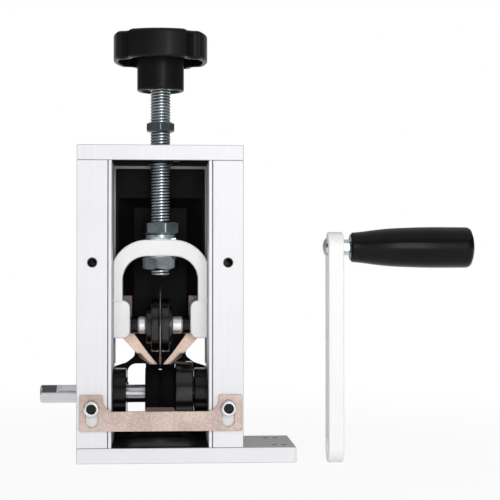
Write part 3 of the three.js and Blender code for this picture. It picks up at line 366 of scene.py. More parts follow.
def filleted(corners, closed=False):
    # (u, v, radius): a radius turns the corner into an arc that touches both its sides
    spots = np.array([corner[:2] for corner in corners], float)
    outline = []
    for index, corner in enumerate(corners):
        here = spots[index]
        if len(corner) < 3 or not corner[2] or (not closed and index in (0, len(corners) - 1)):
            outline.append(here[None])
            continue
        radius = corner[2]
        before = spots[index - 1] - here
        after = spots[(index + 1) % len(spots)] - here
        before, after = before / np.linalg.norm(before), after / np.linalg.norm(after)
        half = math.acos(np.clip(before @ after, -1, 1)) / 2
        centre = here + (before + after) / np.linalg.norm(before + after) * radius / math.sin(half)
        start = here + before * radius / math.tan(half) - centre
        end = here + after * radius / math.tan(half) - centre
        turn = math.atan2(start[0] * end[1] - start[1] * end[0], start @ end)
        angle = np.linspace(0, turn, 1 + max(2, int(abs(turn) * (2 + 2.2 * math.sqrt(radius)))))
        outline.append(centre + np.stack([start[0] * np.cos(angle) - start[1] * np.sin(angle),
            start[0] * np.sin(angle) + start[1] * np.cos(angle)], axis=-1))
    return np.vstack(outline)


def mirrored(corners, share=1):  # the corners, then their mirror image, whose width is scaled by share
    return corners + [(-u * share, *rest) for u, *rest in corners[::-1]]


def arc(u, v, radius, start, end, steps=24):
    angle = np.radians(np.linspace(start, end, steps))
    return np.stack([u + radius * np.cos(angle), v + radius * np.sin(angle)], axis=-1)


def hoop(corners, axis, centre, sides):  # a closed, filleted profile carried once round the axis
    return turned(filleted(corners, True), axis, centre, sides, True)


def bush(inner, outer, start, end, axis, centre, round, sides=96):  # ring with rounded rims
    return hoop([(start, inner, round / 2), (start, outer, round), (end, outer, round), (end, inner, round / 2)],
        axis, centre, sides)


def rod(radius, start, end, axis, centre, round, sides=96):
    profile = filleted([(start, 0.05), (start, radius, round), (end, radius, round), (end, 0.05)])
    return turned(profile, axis, centre, sides)


def drill(radius, start, end, axis, centre, sides=32):  # a plain round tool to carve with
    return rod(radius, start, end, axis, centre, 0.01, sides)


def rectangle(left, right, bottom, top, radius):
    return filleted([(left, bottom, radius), (right, bottom, radius), (right, top, radius), (left, top, radius)], True)


def circle(u, v, radius, sides=48):
    angle = directions(sides)
    return np.stack([u + radius * np.cos(angle), v + radius * np.sin(angle)], axis=-1)


def stadium(u, low, high, radius):  # slot with round ends, low and high are its tips
    return rectangle(u - radius, u + radius, low, high, radius * 0.999)


def slab(loops, start, end, axis, edge, steps=3):
    # each loop of (u, v) is carried along the rounded edge; both faces are filled between the loops
    quarter = np.linspace(0, math.pi / 2, steps + 1)
    inset = edge * (1 - np.sin(np.concatenate([quarter, quarter[::-1]])))
    rise = edge * (1 - np.cos(quarter))
    level = np.concatenate([start + rise, end - rise[::-1]])
    points, blocks, rims, count = [], [], [], 0
    for index, loop in enumerate(loops):
        after = np.roll(loop, -1, axis=0)
        area = (loop[:, 0] * after[:, 1] - loop[:, 1] * after[:, 0]).sum()
        if (area < 0) == (index == 0):  # the rim runs one way round, the holes the other
            loop = loop[::-1]
        side = np.roll(loop, -1, axis=0) - loop
        side /= np.linalg.norm(side, axis=1)[:, None]
        inward = np.stack([-side[:, 1], side[:, 0]], axis=-1)
        earlier = np.roll(inward, 1, axis=0)
        mitre = (inward + earlier) / (1 + (inward * earlier).sum(axis=1))[:, None]
        flat = loop[None] + mitre[None] * inset[:, None, None]
        height = np.broadcast_to(level[:, None, None], (*flat.shape[:2], 1))
        points.append(np.concatenate([flat, height], axis=2).reshape(-1, 3))
        blocks.append(gridFaces(len(level), len(loop), False) + count)
        rims.append(count + np.arange(len(loop)))
        count += len(level) * len(loop)
    points = np.vstack(points)
    filling = np.array(tessellate_polygon([[Vector((*points[i][:2], 0)) for i in rim] for rim in rims]))
    lowRim = np.concatenate(rims)
    highRim = np.concatenate([rim + (len(level) - 1) * len(rim) for rim in rims])
    blocks += [lowRim[filling], highRim[filling]]
    order = {"x": (2, 0, 1), "y": (0, 2, 1), "z": (0, 1, 2)}[axis]
    return points[:, order], blocks


def board(low, high, corner, edge, *holes):  # a plate that fills a box, with holes through its height
    return slab([rectangle(low[0], high[0], low[1], high[1], corner), *holes], low[2], high[2], "z", edge)


def joined(*shapes):
    points, blocks, count = [], [], 0
    for shapePoints, shapeBlocks in shapes:
        points.append(shapePoints)
        blocks += [np.asarray(block) + count for block in shapeBlocks]
        count += len(shapePoints)
    return np.vstack(points), blocks


def meshOf(name, shape, scale=1.0):
    points, blocks = shape
    mesh = bpy.data.meshes.new(name)
    mesh.from_pydata((points * scale).tolist(), [], [face for block in blocks for face in block.tolist()])
    work = bmesh.new()
    work.from_mesh(mesh)
    bmesh.ops.recalc_face_normals(work, faces=work.faces)
    work.to_mesh(mesh)
    work.free()
    return mesh


def carved(shape, *tools, operation="DIFFERENCE"):
    # a Boolean of the shape with each tool, kept as plain points and faces
    for tool in tools:
        pair = [added("carving", meshOf("carving", part)) for part in (shape, tool)]
        change = pair[0].modifiers.new("carving", "BOOLEAN")
        change.operation, change.object, change.solver = operation, pair[1], "EXACT"
        bpy.context.view_layer.update()
        done = bpy.data.meshes.new_from_object(pair[0].evaluated_get(bpy.context.evaluated_depsgraph_get()))
        tidied = bmesh.new()  # slivers of no area are left out
        tidied.from_mesh(done)
        bmesh.ops.remove_doubles(tidied, verts=tidied.verts, dist=1e-4)
        bmesh.ops.dissolve_degenerate(tidied, edges=tidied.edges, dist=1e-4)
        tidied.to_mesh(done)
        tidied.free()
        points = np.empty(len(done.vertices) * 3)
        done.vertices.foreach_get("co", points)
        corners = [list(face.vertices) for face in done.polygons]
        sizes = sorted({len(face) for face in corners})
        shape = (points.reshape(-1, 3), [np.array([face for face in corners if len(face) == size]) for size in sizes])
        for part in pair:
            bpy.data.meshes.remove(part.data)
        bpy.data.meshes.remove(done)
    return shape


def place(shape, *replaced, name=None, body="frame", slot=None, look=None, weighted=True, sharp=38):
    # a piece is named after the first node that it stands for, and has that node's body and slot
    if replaced:
        first, *rest = replaced[0].split("_")
        name = name or first + "".join(word.title() for word in rest)
        body, slot = nodes[replaced[0]]["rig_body"], slotOf[replaced[0]]
    mesh = meshOf(name, shape, mm)
    mesh.shade_smooth()
    mesh.set_sharp_from_angle(angle=math.radians(sharp))
    mesh.materials.append(looks[look or slot].material)
    made = added(name, mesh)
    if weighted:
        made.modifiers.new("weighted", "WEIGHTED_NORMAL").keep_sharp = True
    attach(made, body)
    if replaced:
        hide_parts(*replaced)


def hexRadius(acrossFlats, angle, turn=0.0):  # distance from the middle to the side of a hexagon
    return acrossFlats / 2 / np.cos((angle - turn) % (fullTurn / 6) - fullTurn / 12)


def rows(*pairs, sides):  # rings from (along, radius) pairs, either may vary with direction
    along = np.stack([pair[0] + np.zeros(sides) for pair in pairs])
    radius = np.stack([pair[1] + np.zeros(sides) for pair in pairs])
    return along, radius


def hexNut(acrossFlats, height, bore, axis, centre, turn=0.0, sides=180):
    # a hexagon whose corners meet the cone of the chamfer where the cone's radius equals the hexagon's
    side = np.minimum(hexRadius(acrossFlats, directions(sides), turn), acrossFlats * 0.563)
    face = acrossFlats * 0.455
    drop = (side - face) * 0.577
    lead = min(0.7, (face - bore) * 0.6)  # the bore's own chamfer
    along, radius = rows((lead, bore), (0, bore + lead), (0, face), (drop, side), (height - drop, side),
        (height, face), (height, bore + lead), (height - lead, bore), sides=sides)
    return wound(along, radius, axis, centre, True)


def socketScrew(screw, length, axis, seat, way, sides=96):
    # head with a grooved side, a rounded rim and a socket that turns from round to six-sided
    angle = directions(sides)
    head, tall, shank, rim = screw["head"], screw["height"], screw["shank"], screw["rim"]
    groove = head - screw["groove"] * (0.5 + 0.5 * np.cos(angle * screw["grooves"]))
    socket = hexRadius(screw["socket"] * 2, angle)
    deep = tall - screw["deep"]
    along, radius = rows(
        (-length, shank * 0.8), (-length + shank * 0.2, shank), (0, shank), (0, head - rim / 2), (rim / 2, head),
        (rim, groove), (tall - rim * 1.4, groove), (tall - rim * 1.1, head), (tall - rim * 0.6, head - rim * 0.1),
        (tall - rim * 0.15, head - rim * 0.5), (tall, head - rim), (tall, screw["socket"] * 1.25),
        (tall - rim * 0.4, socket), (deep, socket), (deep - screw["socket"] * 0.3, 0.05), sides=sides)
    return wound(along * way, radius, axis, seat)


def capped(screw, node, axis, way, sides=96):
    # places a socket screw that fills a node, its head at the end that way points to; returns its seat
    index, seat = "xyz".index(axis), middle(node)
    far, near = [corner[index] for corner in span(node)][::way]
    seat[index] = near - way * screw["height"]
    place(socketScrew(screw, abs(seat[index] - far), axis, seat, way, sides), node)
    return seat


def socketShadeCup(screw, axis, seat, way, sides=60):
    # painted shade inside a socket: a dark six-sided cup just inside its walls, flared at the mouth
    wall = hexRadius(screw["socket"] * 2, directions(sides))
    floorAt, rimAt, top = screw["height"] - screw["deep"] + 0.04, screw["height"] - 0.36, screw["height"] + 0.03
    mouth = screw["socket"] * 1.25
    along, radius = rows(
        (floorAt, wall - 0.03), (rimAt, wall - 0.03), (top, mouth), (top, mouth - 0.15),
        (rimAt + 0.05, wall - 0.15), (floorAt + 0.3, wall - 0.15), sides=sides)
    return wound(along * way, radius, axis, seat)


def sunkScrew(screw, node, sides=96):
    # places a countersunk screw that fills a node and points down
    low, high = span(node)
    head, shank, deep, length = screw["head"], screw["shank"], screw["deep"], high[2] - low[2]
    socket = hexRadius(screw["socket"] * 2, directions(sides))
    along, radius = rows(
        (-length, shank * 0.8), (-length + shank * 0.2, shank), (-screw["sink"], shank), (-0.3, head),
        (0, head - 0.2), (0, screw["socket"] * 1.25), (-0.3, socket), (-deep, socket), (-deep - 0.5, 0.05),
        sides=sides)
    place(wound(along, radius, "z", over(node, high[2])), node)


# Plates of the frame
plates = {"edge": 0.5, "corner": 0.5, "stripEdge": 0.25, "stripGroove": 0.35, "counterbore": 5.3, "counterDepth": 6.4,
    "shank": 3.3, "tapDepth": 13, "benchHoles": ((81.6, -19), (75.2, -19), (78.6, 20), (72.2, 20)),
    "benchRadius": 2.1,
    "frontHole": 3, "frontMouth": 3.4, "mouthDepth": 0.4, "frontHeight": 130, "frontDepth": 14,
    "shaftHole": 6.6, "topBore": 7.1, "topMouth": 8.1, "sinkMouth": 6.3, "sinkDepth": 3.5}

low, high = span("base_plate")
screwSpots = [over(f"base_screw_{number}") for number in (1, 2, 3, 4)]
benchHoles = [circle(u, v, plates["benchRadius"]) for u, v in plates["benchHoles"]]
counterbores = [drill(plates["counterbore"], -2, plates["counterDepth"], "z", spot, 48) for spot in screwSpots]
shankHoles = [drill(plates["shank"], -2, 12, "z", spot) for spot in screwSpots]
basePlate = board(low, high, plates["corner"], plates["edge"], *benchHoles)
place(carved(basePlate, joined(*counterbores), joined(*shankHoles)), "base_plate", look="base_aluminium")
# dark sleeves just inside the bench holes: painted shade in the holes
holeShadeSleeves = [bush(plates["benchRadius"] - 0.25, plates["benchRadius"] - 0.02, low[2] + 0.3, high[2] - 0.25, "z",
    (u, v, 0), 0.02, 48) for u, v in plates["benchHoles"]]
place(joined(*holeShadeSleeves), name="benchHoleLiners", slot="black_oxide")

driveHeight = middle("drive_shaft")[2]
driveLine = (0, 0, driveHeight)
for word, side, number in hands:
    low, high = span(f"{word}_upright")
    x, front, deep = (low[0] + high[0]) / 2, low[1], plates["tapDepth"]
    clampHeight = middle(f"guide_plate_screw_{number}")[2]
    frontTool = turned([(front - 1, plates["frontMouth"] + 1), (front + plates["mouthDepth"], plates["frontHole"]),
        (front + plates["frontDepth"], plates["frontHole"])], "y", (x, 0, plates["frontHeight"]), 48)
    clampTool = drill(plates["shank"], front - 2, front + deep, "y", (x, 0, clampHeight))
    shaftTool = drill(plates["shaftHole"], low[0] - 2, high[0] + 2 if side < 0 else low[0] + 14, "x", driveLine, 64)
    screwTools = [drill(plates["shank"], level - deep, level + deep, "z", (x, y, 0))
        for level in (low[2], high[2]) for y in (-20, 20)]
    body = board(low, high, plates["edge"], plates["edge"])
    place(carved(body, joined(frontTool, shaftTool), clampTool, joined(*screwTools)), f"{word}_upright")

    low, high = span(f"{word}_guide_strip")
    shaftTool = drill(plates["shaftHole"], low[0] - 2, high[0] + 2, "x", driveLine, 64)
    (low if side < 0 else high)[0] -= side * plates["stripGroove"]  # a groove stays open beside the upright
    place(carved(board(low, high, plates["stripEdge"], 0.2), shaftTool), f"{word}_guide_strip")

# a thread inside each front hole, coloured dark: painted shade in the hole
tapped = {"inset": 0.45, "deep": 12.5, "outer": 2.99, "core": 2.35, "crest": 0.5, "pitch": 1, "back": 0.5, "sides": 48}
for word, side, number in hands:
    front = span(f"{word}_upright")[0][1]
    inwards = np.linspace(front + tapped["inset"], front + tapped["deep"], 92)
    turnShare = (inwards[:, None] / tapped["pitch"] - directions(tapped["sides"]) / fullTurn) % 1
    bore = tapped["core"] + tapped["crest"] * np.abs(2 * turnShare - 1)
    along, radius = rows((inwards[-1] + tapped["back"], tapped["outer"]), (inwards[0], tapped["outer"]),
        *zip(inwards, bore), sides=tapped["sides"])
    centre = (middle(f"{word}_upright")[0], 0, plates["frontHeight"])
    place(wound(along, radius, "y", centre), name=f"{word}FrontThread", slot="black_oxide", sharp=60)

low, high = span("top_plate")
sinkProfile = [(high[2] - 14, plates["shank"]), (high[2] - plates["sinkDepth"], plates["shank"]),
    (high[2] + 0.01, plates["sinkMouth"]), (high[2] + 2, plates["sinkMouth"])]
topSinks = [turned(sinkProfile, "z", over(f"top_screw_{number}"), 48) for number in (1, 2, 3, 4)]
topBore = turned([(low[2] - 2, plates["topBore"]), (high[2] - 1, plates["topBore"]),
    (high[2] + 1, plates["topMouth"] + 1)], "z", sides=64)
place(carved(board(low, high, plates["corner"], plates["edge"]), joined(*topSinks, topBore)), "top_plate")

# a thin black sheet under the top plate: painted shade and dark reflection on its underside
shadeSheet = {"thick": 0.4, "front": 0.4, "bore": 8.8, "peep": (10.5, -24, 3.6)}
frameLow, frameHigh = span("cover_frame")
shadeSheetLow = (frameLow[0] + 0.1, low[1] + shadeSheet["front"], low[2] - shadeSheet["thick"])
topLiner = board(shadeSheetLow, (frameHigh[0] - 0.1, frameLow[1], low[2]), 0.3, 0.1, circle(0, 0, shadeSheet["bore"]),
    circle(*shadeSheet["peep"], 32))
place(topLiner, name="topLiner", slot="black_rubber")
place(board(*span("floor_liner"), 0.8, 0.3), "floor_liner")

low, high = frameLow, frameHigh
arch = {"leg": 1.2, "bar": 2.3}
leftLeg, rightLeg, barLow = low[0] + arch["leg"], high[0] - arch["leg"], high[2] - arch["bar"]
archRim = [(low[0], low[2], 0.3), (leftLeg, low[2], 0.3), (leftLeg, barLow, 0.6),
    (rightLeg, barLow, 0.6), (rightLeg, low[2], 0.3), (high[0], low[2], 0.3),
    (high[0], high[2], 0.3), (low[0], high[2], 0.3)]
place(slab([filleted(archRim, True)], low[1], high[1], "y", 0.3), "cover_frame", look="shaded_aluminium")
print("frame plates placed")

# Screws of the frame
capScrew = {"head": 5, "height": 6, "shank": 3, "rim": 0.9, "groove": 0.14, "grooves": 32, "socket": 2.6, "deep": 3}
clampCap = {**capScrew, "deep": 1.5}
tinyCap = {"head": 2.8, "height": 1.8, "shank": 1.5, "rim": 0.35, "groove": 0.08, "grooves": 24, "socket": 1.15,
    "deep": 1.1}
frameSunk = {"head": 6, "shank": 3, "sink": 3.4, "socket": 2.1, "deep": 2.4}
bridgeSunk = {"head": 3.8, "shank": 2, "sink": 2, "socket": 1.3, "deep": 1.4}

for number in (1, 2, 3, 4):
    sunkScrew(frameSunk, f"top_screw_{number}")
    capped(capScrew, f"base_screw_{number}", "z", -1, 128)
for number in (1, 2):
    seat = capped(clampCap, f"guide_plate_screw_{number}", "y", -1, 256)
    # a dark cup in the socket: painted shade
    place(socketShadeCup(clampCap, "y", seat, -1), name=f"guidePlateSocketShade{number}", slot="black_oxide")
    capped(tinyCap, f"cover_screw_{number}", "z", -1)
    sunkScrew(bridgeSunk, f"bridge_screw_{number}")
    capped(tinyCap, f"v_guide_screw_{number}", "y", 1)
print("screws placed")

# Rear bridge: a bent sheet with a large window, standing on two feet
bridge = {"shoulder": 59, "knee": (23.2, 61.6, 6), "crown": (17.6, 66, 4), "window": (22.5, 16, 60.8, 6), "thick": 3,
    "notch": (9.2, 23.1), "drop": (10, 57), "footInner": 14, "footThick": 3,
    "hole": ((2, 2.3), (14, 2.3)), "sink": ((10.8, 2.3), (13.01, 4.1), (15, 4.1))}
low, high = span("rear_bridge")
bridgeRim = filleted(mirrored([
    (high[0], low[2], 0.5), (high[0], bridge["shoulder"], 1.5), bridge["knee"], bridge["crown"],
    (bridge["crown"][0], high[2], 0.8)]), True)
half, bottom, top, soft = bridge["window"]
notch, notchMiddle = bridge["notch"]
dropHalf, dropBottom = bridge["drop"]
swing = math.degrees(math.asin((notchMiddle - bottom) / notch))
windowRim = mirrored([(notch, bottom), (half, bottom, soft), (half, top, soft), (dropHalf, top, 0.6),
    (dropHalf, dropBottom, 1)])
bridgeWindow = np.vstack([arc(0, notchMiddle, notch, -180 + swing, -swing), filleted(windowRim)])
bridgeWall = slab([bridgeRim, bridgeWindow], high[1] - bridge["thick"], high[1], "y", 0.4)
footTop = low[2] + bridge["footThick"]
feet = []
for side in (-1, 1):
    near, far = sorted((side * bridge["footInner"], side * high[0]))
    feet.append(board((near, low[1], low[2]), (far, high[1] - 1, footTop), 1, 0.4))
footScrews = [over(f"bridge_screw_{number}") for number in (1, 2)]
sinks = [turned(bridge["sink"], "z", spot, 48) for spot in footScrews]
holes = [turned(bridge["hole"], "z", spot, 32) for spot in footScrews]
bridgeBody = carved(bridgeWall, joined(*feet), operation="UNION")
place(carved(bridgeBody, joined(*sinks), joined(*holes)), "rear_bridge")
print("bridge placed")

# Front guide plate: a bar with an ear at each end, and a tab that is bent backwards and rises a little
plate = {"half": [(53, 21.2, 1.1), (53, 44.6, 1.1), (37.8, 44.6, 1.1), (37.8, 33.9, 7.5)], "leftShare": 0.978,
    "thick": 3, "slotX": 44, "slot": (23.8, 41.2, 4.1), "tabHalf": 10.1, "tipHalf": 9, "tab": (31.5, 33.5),
    "tabRise": 0.122}
low, high = span("front_guide_plate")
plateRim = filleted(mirrored(plate["half"], plate["leftShare"]), True)
slots = [stadium(side * plate["slotX"], *plate["slot"]) for side in (-1, 1)]
plateBar = slab([plateRim, *slots], low[1], low[1] + plate["thick"], "y", 0.25)
tabRim = filleted([(-plate["tabHalf"], low[1] + 0.4), (plate["tabHalf"], low[1] + 0.4),
    (plate["tipHalf"], high[1], 1.2), (-plate["tipHalf"], high[1], 1.2)], True)
tabPoints, tabBlocks = slab([tabRim], *plate["tab"], "z", 0.25)
tabPoints[:, 2] += (tabPoints[:, 1] - low[1]) * plate["tabRise"]
place(carved(plateBar, (tabPoints, tabBlocks), operation="UNION"), "front_guide_plate")

# Drive shaft: a chamfered rod; near its end the radius is cut to a flat that runs out slowly
shaft = {"sides": 128, "flatFloor": 4.2, "flatTurn": 32, "flatInset": 1.4, "flatLong": 9.5, "runOut": 0.45}
low, high = span("drive_shaft")
shaftRadius = (high[2] - low[2]) / 2
shaftAlong = np.concatenate([low[0] + np.array([0, 0, 0.3, 0.9, 1.39, 1.41]), low[0] + np.linspace(1.5, 10.8, 4),
    low[0] + np.linspace(10.9, 18, 24), [high[0] - 0.9, high[0] - 0.3, high[0]]])
chamfer = [0.9, 0.35, 0]
shaftRound = shaftRadius - np.array([shaftRadius - 0.05, *chamfer, *[0] * (len(shaftAlong) - 7), *chamfer[::-1]])
turnUp = np.sin(directions(shaft["sides"]) - math.radians(shaft["flatTurn"]))
fromTip = shaftAlong - low[0]
runOut = np.maximum(0, fromTip - shaft["flatInset"] - shaft["flatLong"]) * shaft["runOut"]
floorLine = np.where(fromTip < shaft["flatInset"] + 0.005, 99, shaft["flatFloor"] + runOut)
flatRadius = np.where(turnUp > 0.05, floorLine[:, None] / np.maximum(turnUp, 0.05), 99)
place(wound(shaftAlong[:, None], np.minimum(shaftRound[:, None], flatRadius), "x", driveLine), "drive_shaft",
    look="milled_shaft", sharp=30)

# Drive wheel: slanting teeth all round, a groove in its middle
wheel = {"teeth": 96, "toothDepth": 0.45, "lean": 5.5, "grooveHalf": 0.9, "grooveDeep": 2.4, "clear": 0.3}
low, high = span("drive_wheel")
wheelRadius, lip = (high[2] - low[2]) / 2, wheel["grooveHalf"]
across = np.concatenate([np.linspace(low[0], low[0] + 1, 4), np.linspace(low[0] + 1.2, -lip - 0.2, 26),
    [-lip, -lip, lip, lip], np.linspace(lip + 0.2, high[0] - 1.2, 26),
    np.linspace(high[0] - 1, high[0], 4)])
knurlAngle = directions(wheel["teeth"] * 5)
leaning = (knurlAngle[None] * wheel["teeth"] + across[:, None] * wheel["lean"]) % fullTurn / fullTurn
tooth = wheel["toothDepth"] * np.abs(2 * leaning - 1)
edgeDrop = np.interp(across, [low[0], low[0] + 1, high[0] - 1, high[0]], [1, 0, 0, 1])
smoothRows = (np.abs(across) <= lip) | (edgeDrop > 0.4)
wheelRound = wheelRadius - edgeDrop[:, None] - np.where(smoothRows[:, None], 0.2, tooth)
inner = len(across) // 2
wheelRound[inner - 1: inner + 1] = wheelRadius - wheel["grooveDeep"]
hub = shaftRadius + wheel["clear"]
along, radius = rows(*zip(across, wheelRound), (high[0], hub), (low[0], hub), sides=len(knurlAngle))
place(wound(along, radius, "x", driveLine, True), "drive_wheel", look="wheel_black", weighted=False, sharp=50)

# Sleeve and bearing housings
sleeve = {"start": 0.27, "round": 0.8, "step": 9, "stepLong": 0.8}
low, high = span("drive_sleeve")
start, stepEnd, sleeveRadius = low[0] - sleeve["start"], high[0] + sleeve["stepLong"], (high[2] - low[2]) / 2
corners = [(start, hub, 0.1), (start, sleeveRadius, sleeve["round"]), (high[0], sleeveRadius, sleeve["round"]),
    (high[0], sleeve["step"], 0.2), (stepEnd, sleeve["step"], 0.2), (stepEnd, hub, 0.1)]
place(hoop(corners, "x", driveLine, 160), "drive_sleeve", look="turned_black")

housing = {"bore": 6.6, "recess": 12.1, "recessDeep": 2.2, "screwCircle": 14.4, "screwStart": 0.05, "screwLong": 1.5}
housingCap = {**tinyCap, "head": 2.1, "height": 1.1, "socket": 0.9, "deep": 0.7}
for word, side, number in hands:
    low, high = span(f"{word}_bearing_housing")
    near, far = (low[0], high[0])[::side]
    rim, recess, lip = high[2] - driveHeight, housing["recess"], near + side * housing["recessDeep"]
    corners = [(near, housing["bore"], 0.4), (near, rim, 0.8), (far, rim, 0.8), (far, recess, 0.3),
        (lip, recess, 0.3), (lip, housing["bore"], 0.3)]
    place(hoop(corners, "x", driveLine, 160), f"{word}_bearing_housing")
    screws = []
    for turn in (np.arange(3) / 3 + housing["screwStart"]) * fullTurn:
        y, z = housing["screwCircle"] * math.cos(turn), driveHeight + housing["screwCircle"] * math.sin(turn)
        screws.append(socketScrew(housingCap, housing["screwLong"], "x", (near, y, z), -side, 48))
    place(joined(*screws), name=f"{word}HousingScrews", slot="black_oxide")
print("drive line placed")

# Yoke
yoke = {"foot": 25, "footCorner": 5, "armThick": 6, "archHeight": 54.6, "archCorner": 15.8, "shoulder": 24.8,
    "crownHalf": 8.7, "heel": 1.2, "footInner": 20.1, "edge": 0.8, "bore": 7.1, "axleBore": 4.3}
low, high = span("yoke")
halfX, tall, footLevel = high[0], high[2] - low[2], low[2]
innerX, foot, archTop = halfX - yoke["armThick"], yoke["foot"], yoke["archHeight"]
shoulderStart = math.degrees(math.acos((halfX - yoke["crownHalf"]) / yoke["shoulder"]))
shoulderArc = arc(yoke["crownHalf"], tall - yoke["shoulder"], yoke["shoulder"], shoulderStart, 90)
inside = filleted([(0, archTop), (innerX, archTop, yoke["archCorner"]), (innerX, foot, 0.3),
    (yoke["footInner"], foot, yoke["footCorner"]), (yoke["footInner"], 0, yoke["footCorner"]),
    (halfX, 0, yoke["heel"]), (halfX, tall / 2)])[:-1]
halfYoke = np.vstack([inside, shoulderArc])  # from the arch's crown round the right arm to the top
yokeRim = np.vstack([halfYoke, halfYoke[:0:-1] * [-1, 1]]) + [0, footLevel]
axleLine = (0, 0, middle("blade_axle")[2])
boreTool = drill(yoke["bore"], footLevel + archTop - 1, high[2] + 1, "z", (0, 0, 0), 64)
axleTool = drill(yoke["axleBore"], -halfX - 2, halfX + 2, "x", axleLine, 64)
place(carved(slab([yokeRim], low[1], high[1], "y", yoke["edge"], 4), boreTool, axleTool), "yoke", name="yokeBody")

# V guides: a tab, a slanting arm and a tip; a flap along the arm's lower edge is folded backwards
guide = {"sheet": ((19, 28.2, 0.6), (29, 28.2, 0.6), (29, 3.4, 1), (24.8, -1, 3), (15.4, -11.4, 0.5), (5.4, -18.4, 0.5),
    (1.6, -18.4, 0.4), (8.3, -10.4, 4), (18.3, 3.4, 2), (19, 4.1, 0.5)), "hole": 1.8,
    "foldStart": (15.6, -11.2), "foldEnd": (5.6, -18.2), "flap": 3.6, "foldAngle": 68, "foldInset": 0.3}
low, high = span("left_v_guide")
foldStart, foldEnd = np.array(guide["foldStart"]), np.array(guide["foldEnd"])
foldLong = np.linalg.norm(foldEnd - foldStart)
foldAlong = (foldEnd - foldStart) / foldLong
foldOut = np.array([-foldAlong[1], foldAlong[0]])
tilt = math.radians(guide["foldAngle"])
flapRim = filleted([(0, -0.5, 0.3), (foldLong, -0.5, 0.3), (foldLong - 1, guide["flap"], 1), (2.4, guide["flap"], 1)],
    True)
flat, flapBlocks = slab([flapRim], 0, high[1] - low[1], "z", 0.2)
across = flat[:, 1] * math.cos(tilt) - flat[:, 2] * math.sin(tilt)
back = flat[:, 1] * math.sin(tilt) + flat[:, 2] * math.cos(tilt) + low[1] + guide["foldInset"]
spread = foldStart + flat[:, :1] * foldAlong + across[:, None] * foldOut
for word, side, number in hands:
    outline = filleted([(u * side, v + footLevel, r) for u, v, r in guide["sheet"]], True)
    hole = middle(f"v_guide_screw_{number}")
    sheet = slab([outline, circle(hole[0], hole[2], guide["hole"], 24)], low[1], high[1], "y", 0.2)
    flap = np.stack([spread[:, 0] * side, back, spread[:, 1] + footLevel], axis=-1)
    place(carved(sheet, (flap, flapBlocks), operation="UNION"), f"{word}_v_guide", look="guide_copper")

# Blade stack
stack = {"bore": 8.3, "bevel": 3, "edgeHalf": 0.12, "edgeDrop": 0.05, "hub": 12.5, "rimWide": 5.1, "axle": 4,
    "axleBore": 4.3, "rings": {"collar": (0.5, None), "spacer": (1.05, "spacer_steel")}}
low, high = span("blade")
radius, half, bore, hub = (high[2] - low[2]) / 2, high[0], stack["bore"], stack["hub"]
bevel, edge = radius - stack["bevel"], radius - stack["edgeDrop"]
bladeProfile = [(-half, bore), (-half, bevel), (-stack["edgeHalf"], edge), (0, radius), (stack["edgeHalf"], edge),
    (half, bevel), (half, bore)]
place(turned(bladeProfile, "x", axleLine, 240, True), "blade", name="bladeDisc", sharp=12)
for word, side, number in hands:
    low, high = span(f"{word}_blade_flange")
    near, far = (low[0], high[0])[::side]
    rim, step = (high[2] - low[2]) / 2, near + side * stack["rimWide"]
    corners = [(near, bore, 0.1), (near, rim, 0.5), (step, rim, 0.9), (step, hub, 0.5), (far, hub, 0.4),
        (far, bore, 0.2)]
    place(hoop(corners, "x", axleLine, 160), f"{word}_blade_flange", look="turned_black")
    for kind, (soft, look) in stack["rings"].items():
        low, high = span(f"{word}_{kind}")
        ring = bush(stack["axleBore"], high[2] - axleLine[2], low[0], high[0], "x", axleLine, soft)
        place(ring, f"{word}_{kind}", look=look)
low, high = span("blade_axle")
place(rod(stack["axle"], low[0], high[0], "x", axleLine, 0.5), "blade_axle")
print("yoke and blade placed")

# Feed spindle: radius = outer radius less a flattened triangle wave of (height / pitch - turn)
thread = {"pitch": 2, "depth": 0.75, "perPitch": 12, "sides": 56, "chamfer": 1.2, "bore": 6.9}
low, high = span("feed_spindle")
heights = np.linspace(low[2], high[2], int((high[2] - low[2]) / thread["pitch"] * thread["perPitch"]) + 1)[:, None]
phase = (heights / thread["pitch"] - directions(thread["sides"]) / fullTurn) % 1
cutDepth = thread["depth"] * np.clip(1.9 * np.abs(2 * phase - 1) - 0.9, 0, 1)
fromEnd = np.minimum(heights - low[2], high[2] - heights)
threadRadius = np.minimum(high[0] - cutDepth, high[0] - thread["chamfer"] + fromEnd)
place(wound(heights, threadRadius, "z"), "feed_spindle", look="threaded_zinc", weighted=False, sharp=80)

# Nuts: the width across flats, and how far each one is turned
nuts = {"lower_nut": (22, 0.302), "upper_nut": (22, -0.22), "jam_nut": (18.5, math.pi / 2)}
for node, (acrossFlats, turn) in nuts.items():
    low, high = span(node)
    shape = hexNut(acrossFlats, high[2] - low[2], thread["bore"], "z", (0, 0, low[2]), turn)
    # the darker zinc is painted shade on the nut faces
    place(shape, node, look="nut_zinc", sharp=20)

# Spring washer: a square section carried once round with a gap, rising a little
washer = {"inner": 7, "outer": 10.3, "gap": 0.14, "rise": 0.9, "steps": 96}
low, high = span("spring_washer")
around = np.linspace(washer["gap"] / 2, fullTurn - washer["gap"] / 2, washer["steps"])[:, None]
lift = washer["rise"] * np.linspace(0, 1, washer["steps"])[:, None]
thick = high[2] - low[2] - washer["rise"]
section = filleted([(washer["inner"], 0, 0.3), (washer["outer"], 0, 0.4), (washer["outer"], thick, 0.4),
    (washer["inner"], thick, 0.3)], True)
reach, level = section.T
washerPoints = np.stack([np.cos(around) * reach, np.sin(around) * reach, low[2] + lift + level], axis=-1).reshape(-1, 3)
firstEnd = np.arange(len(section))[None]
washerBlocks = [gridFaces(washer["steps"], len(section), False), firstEnd[:, ::-1],
    firstEnd + len(washerPoints) - len(section)]
place((washerPoints, washerBlocks), "spring_washer")

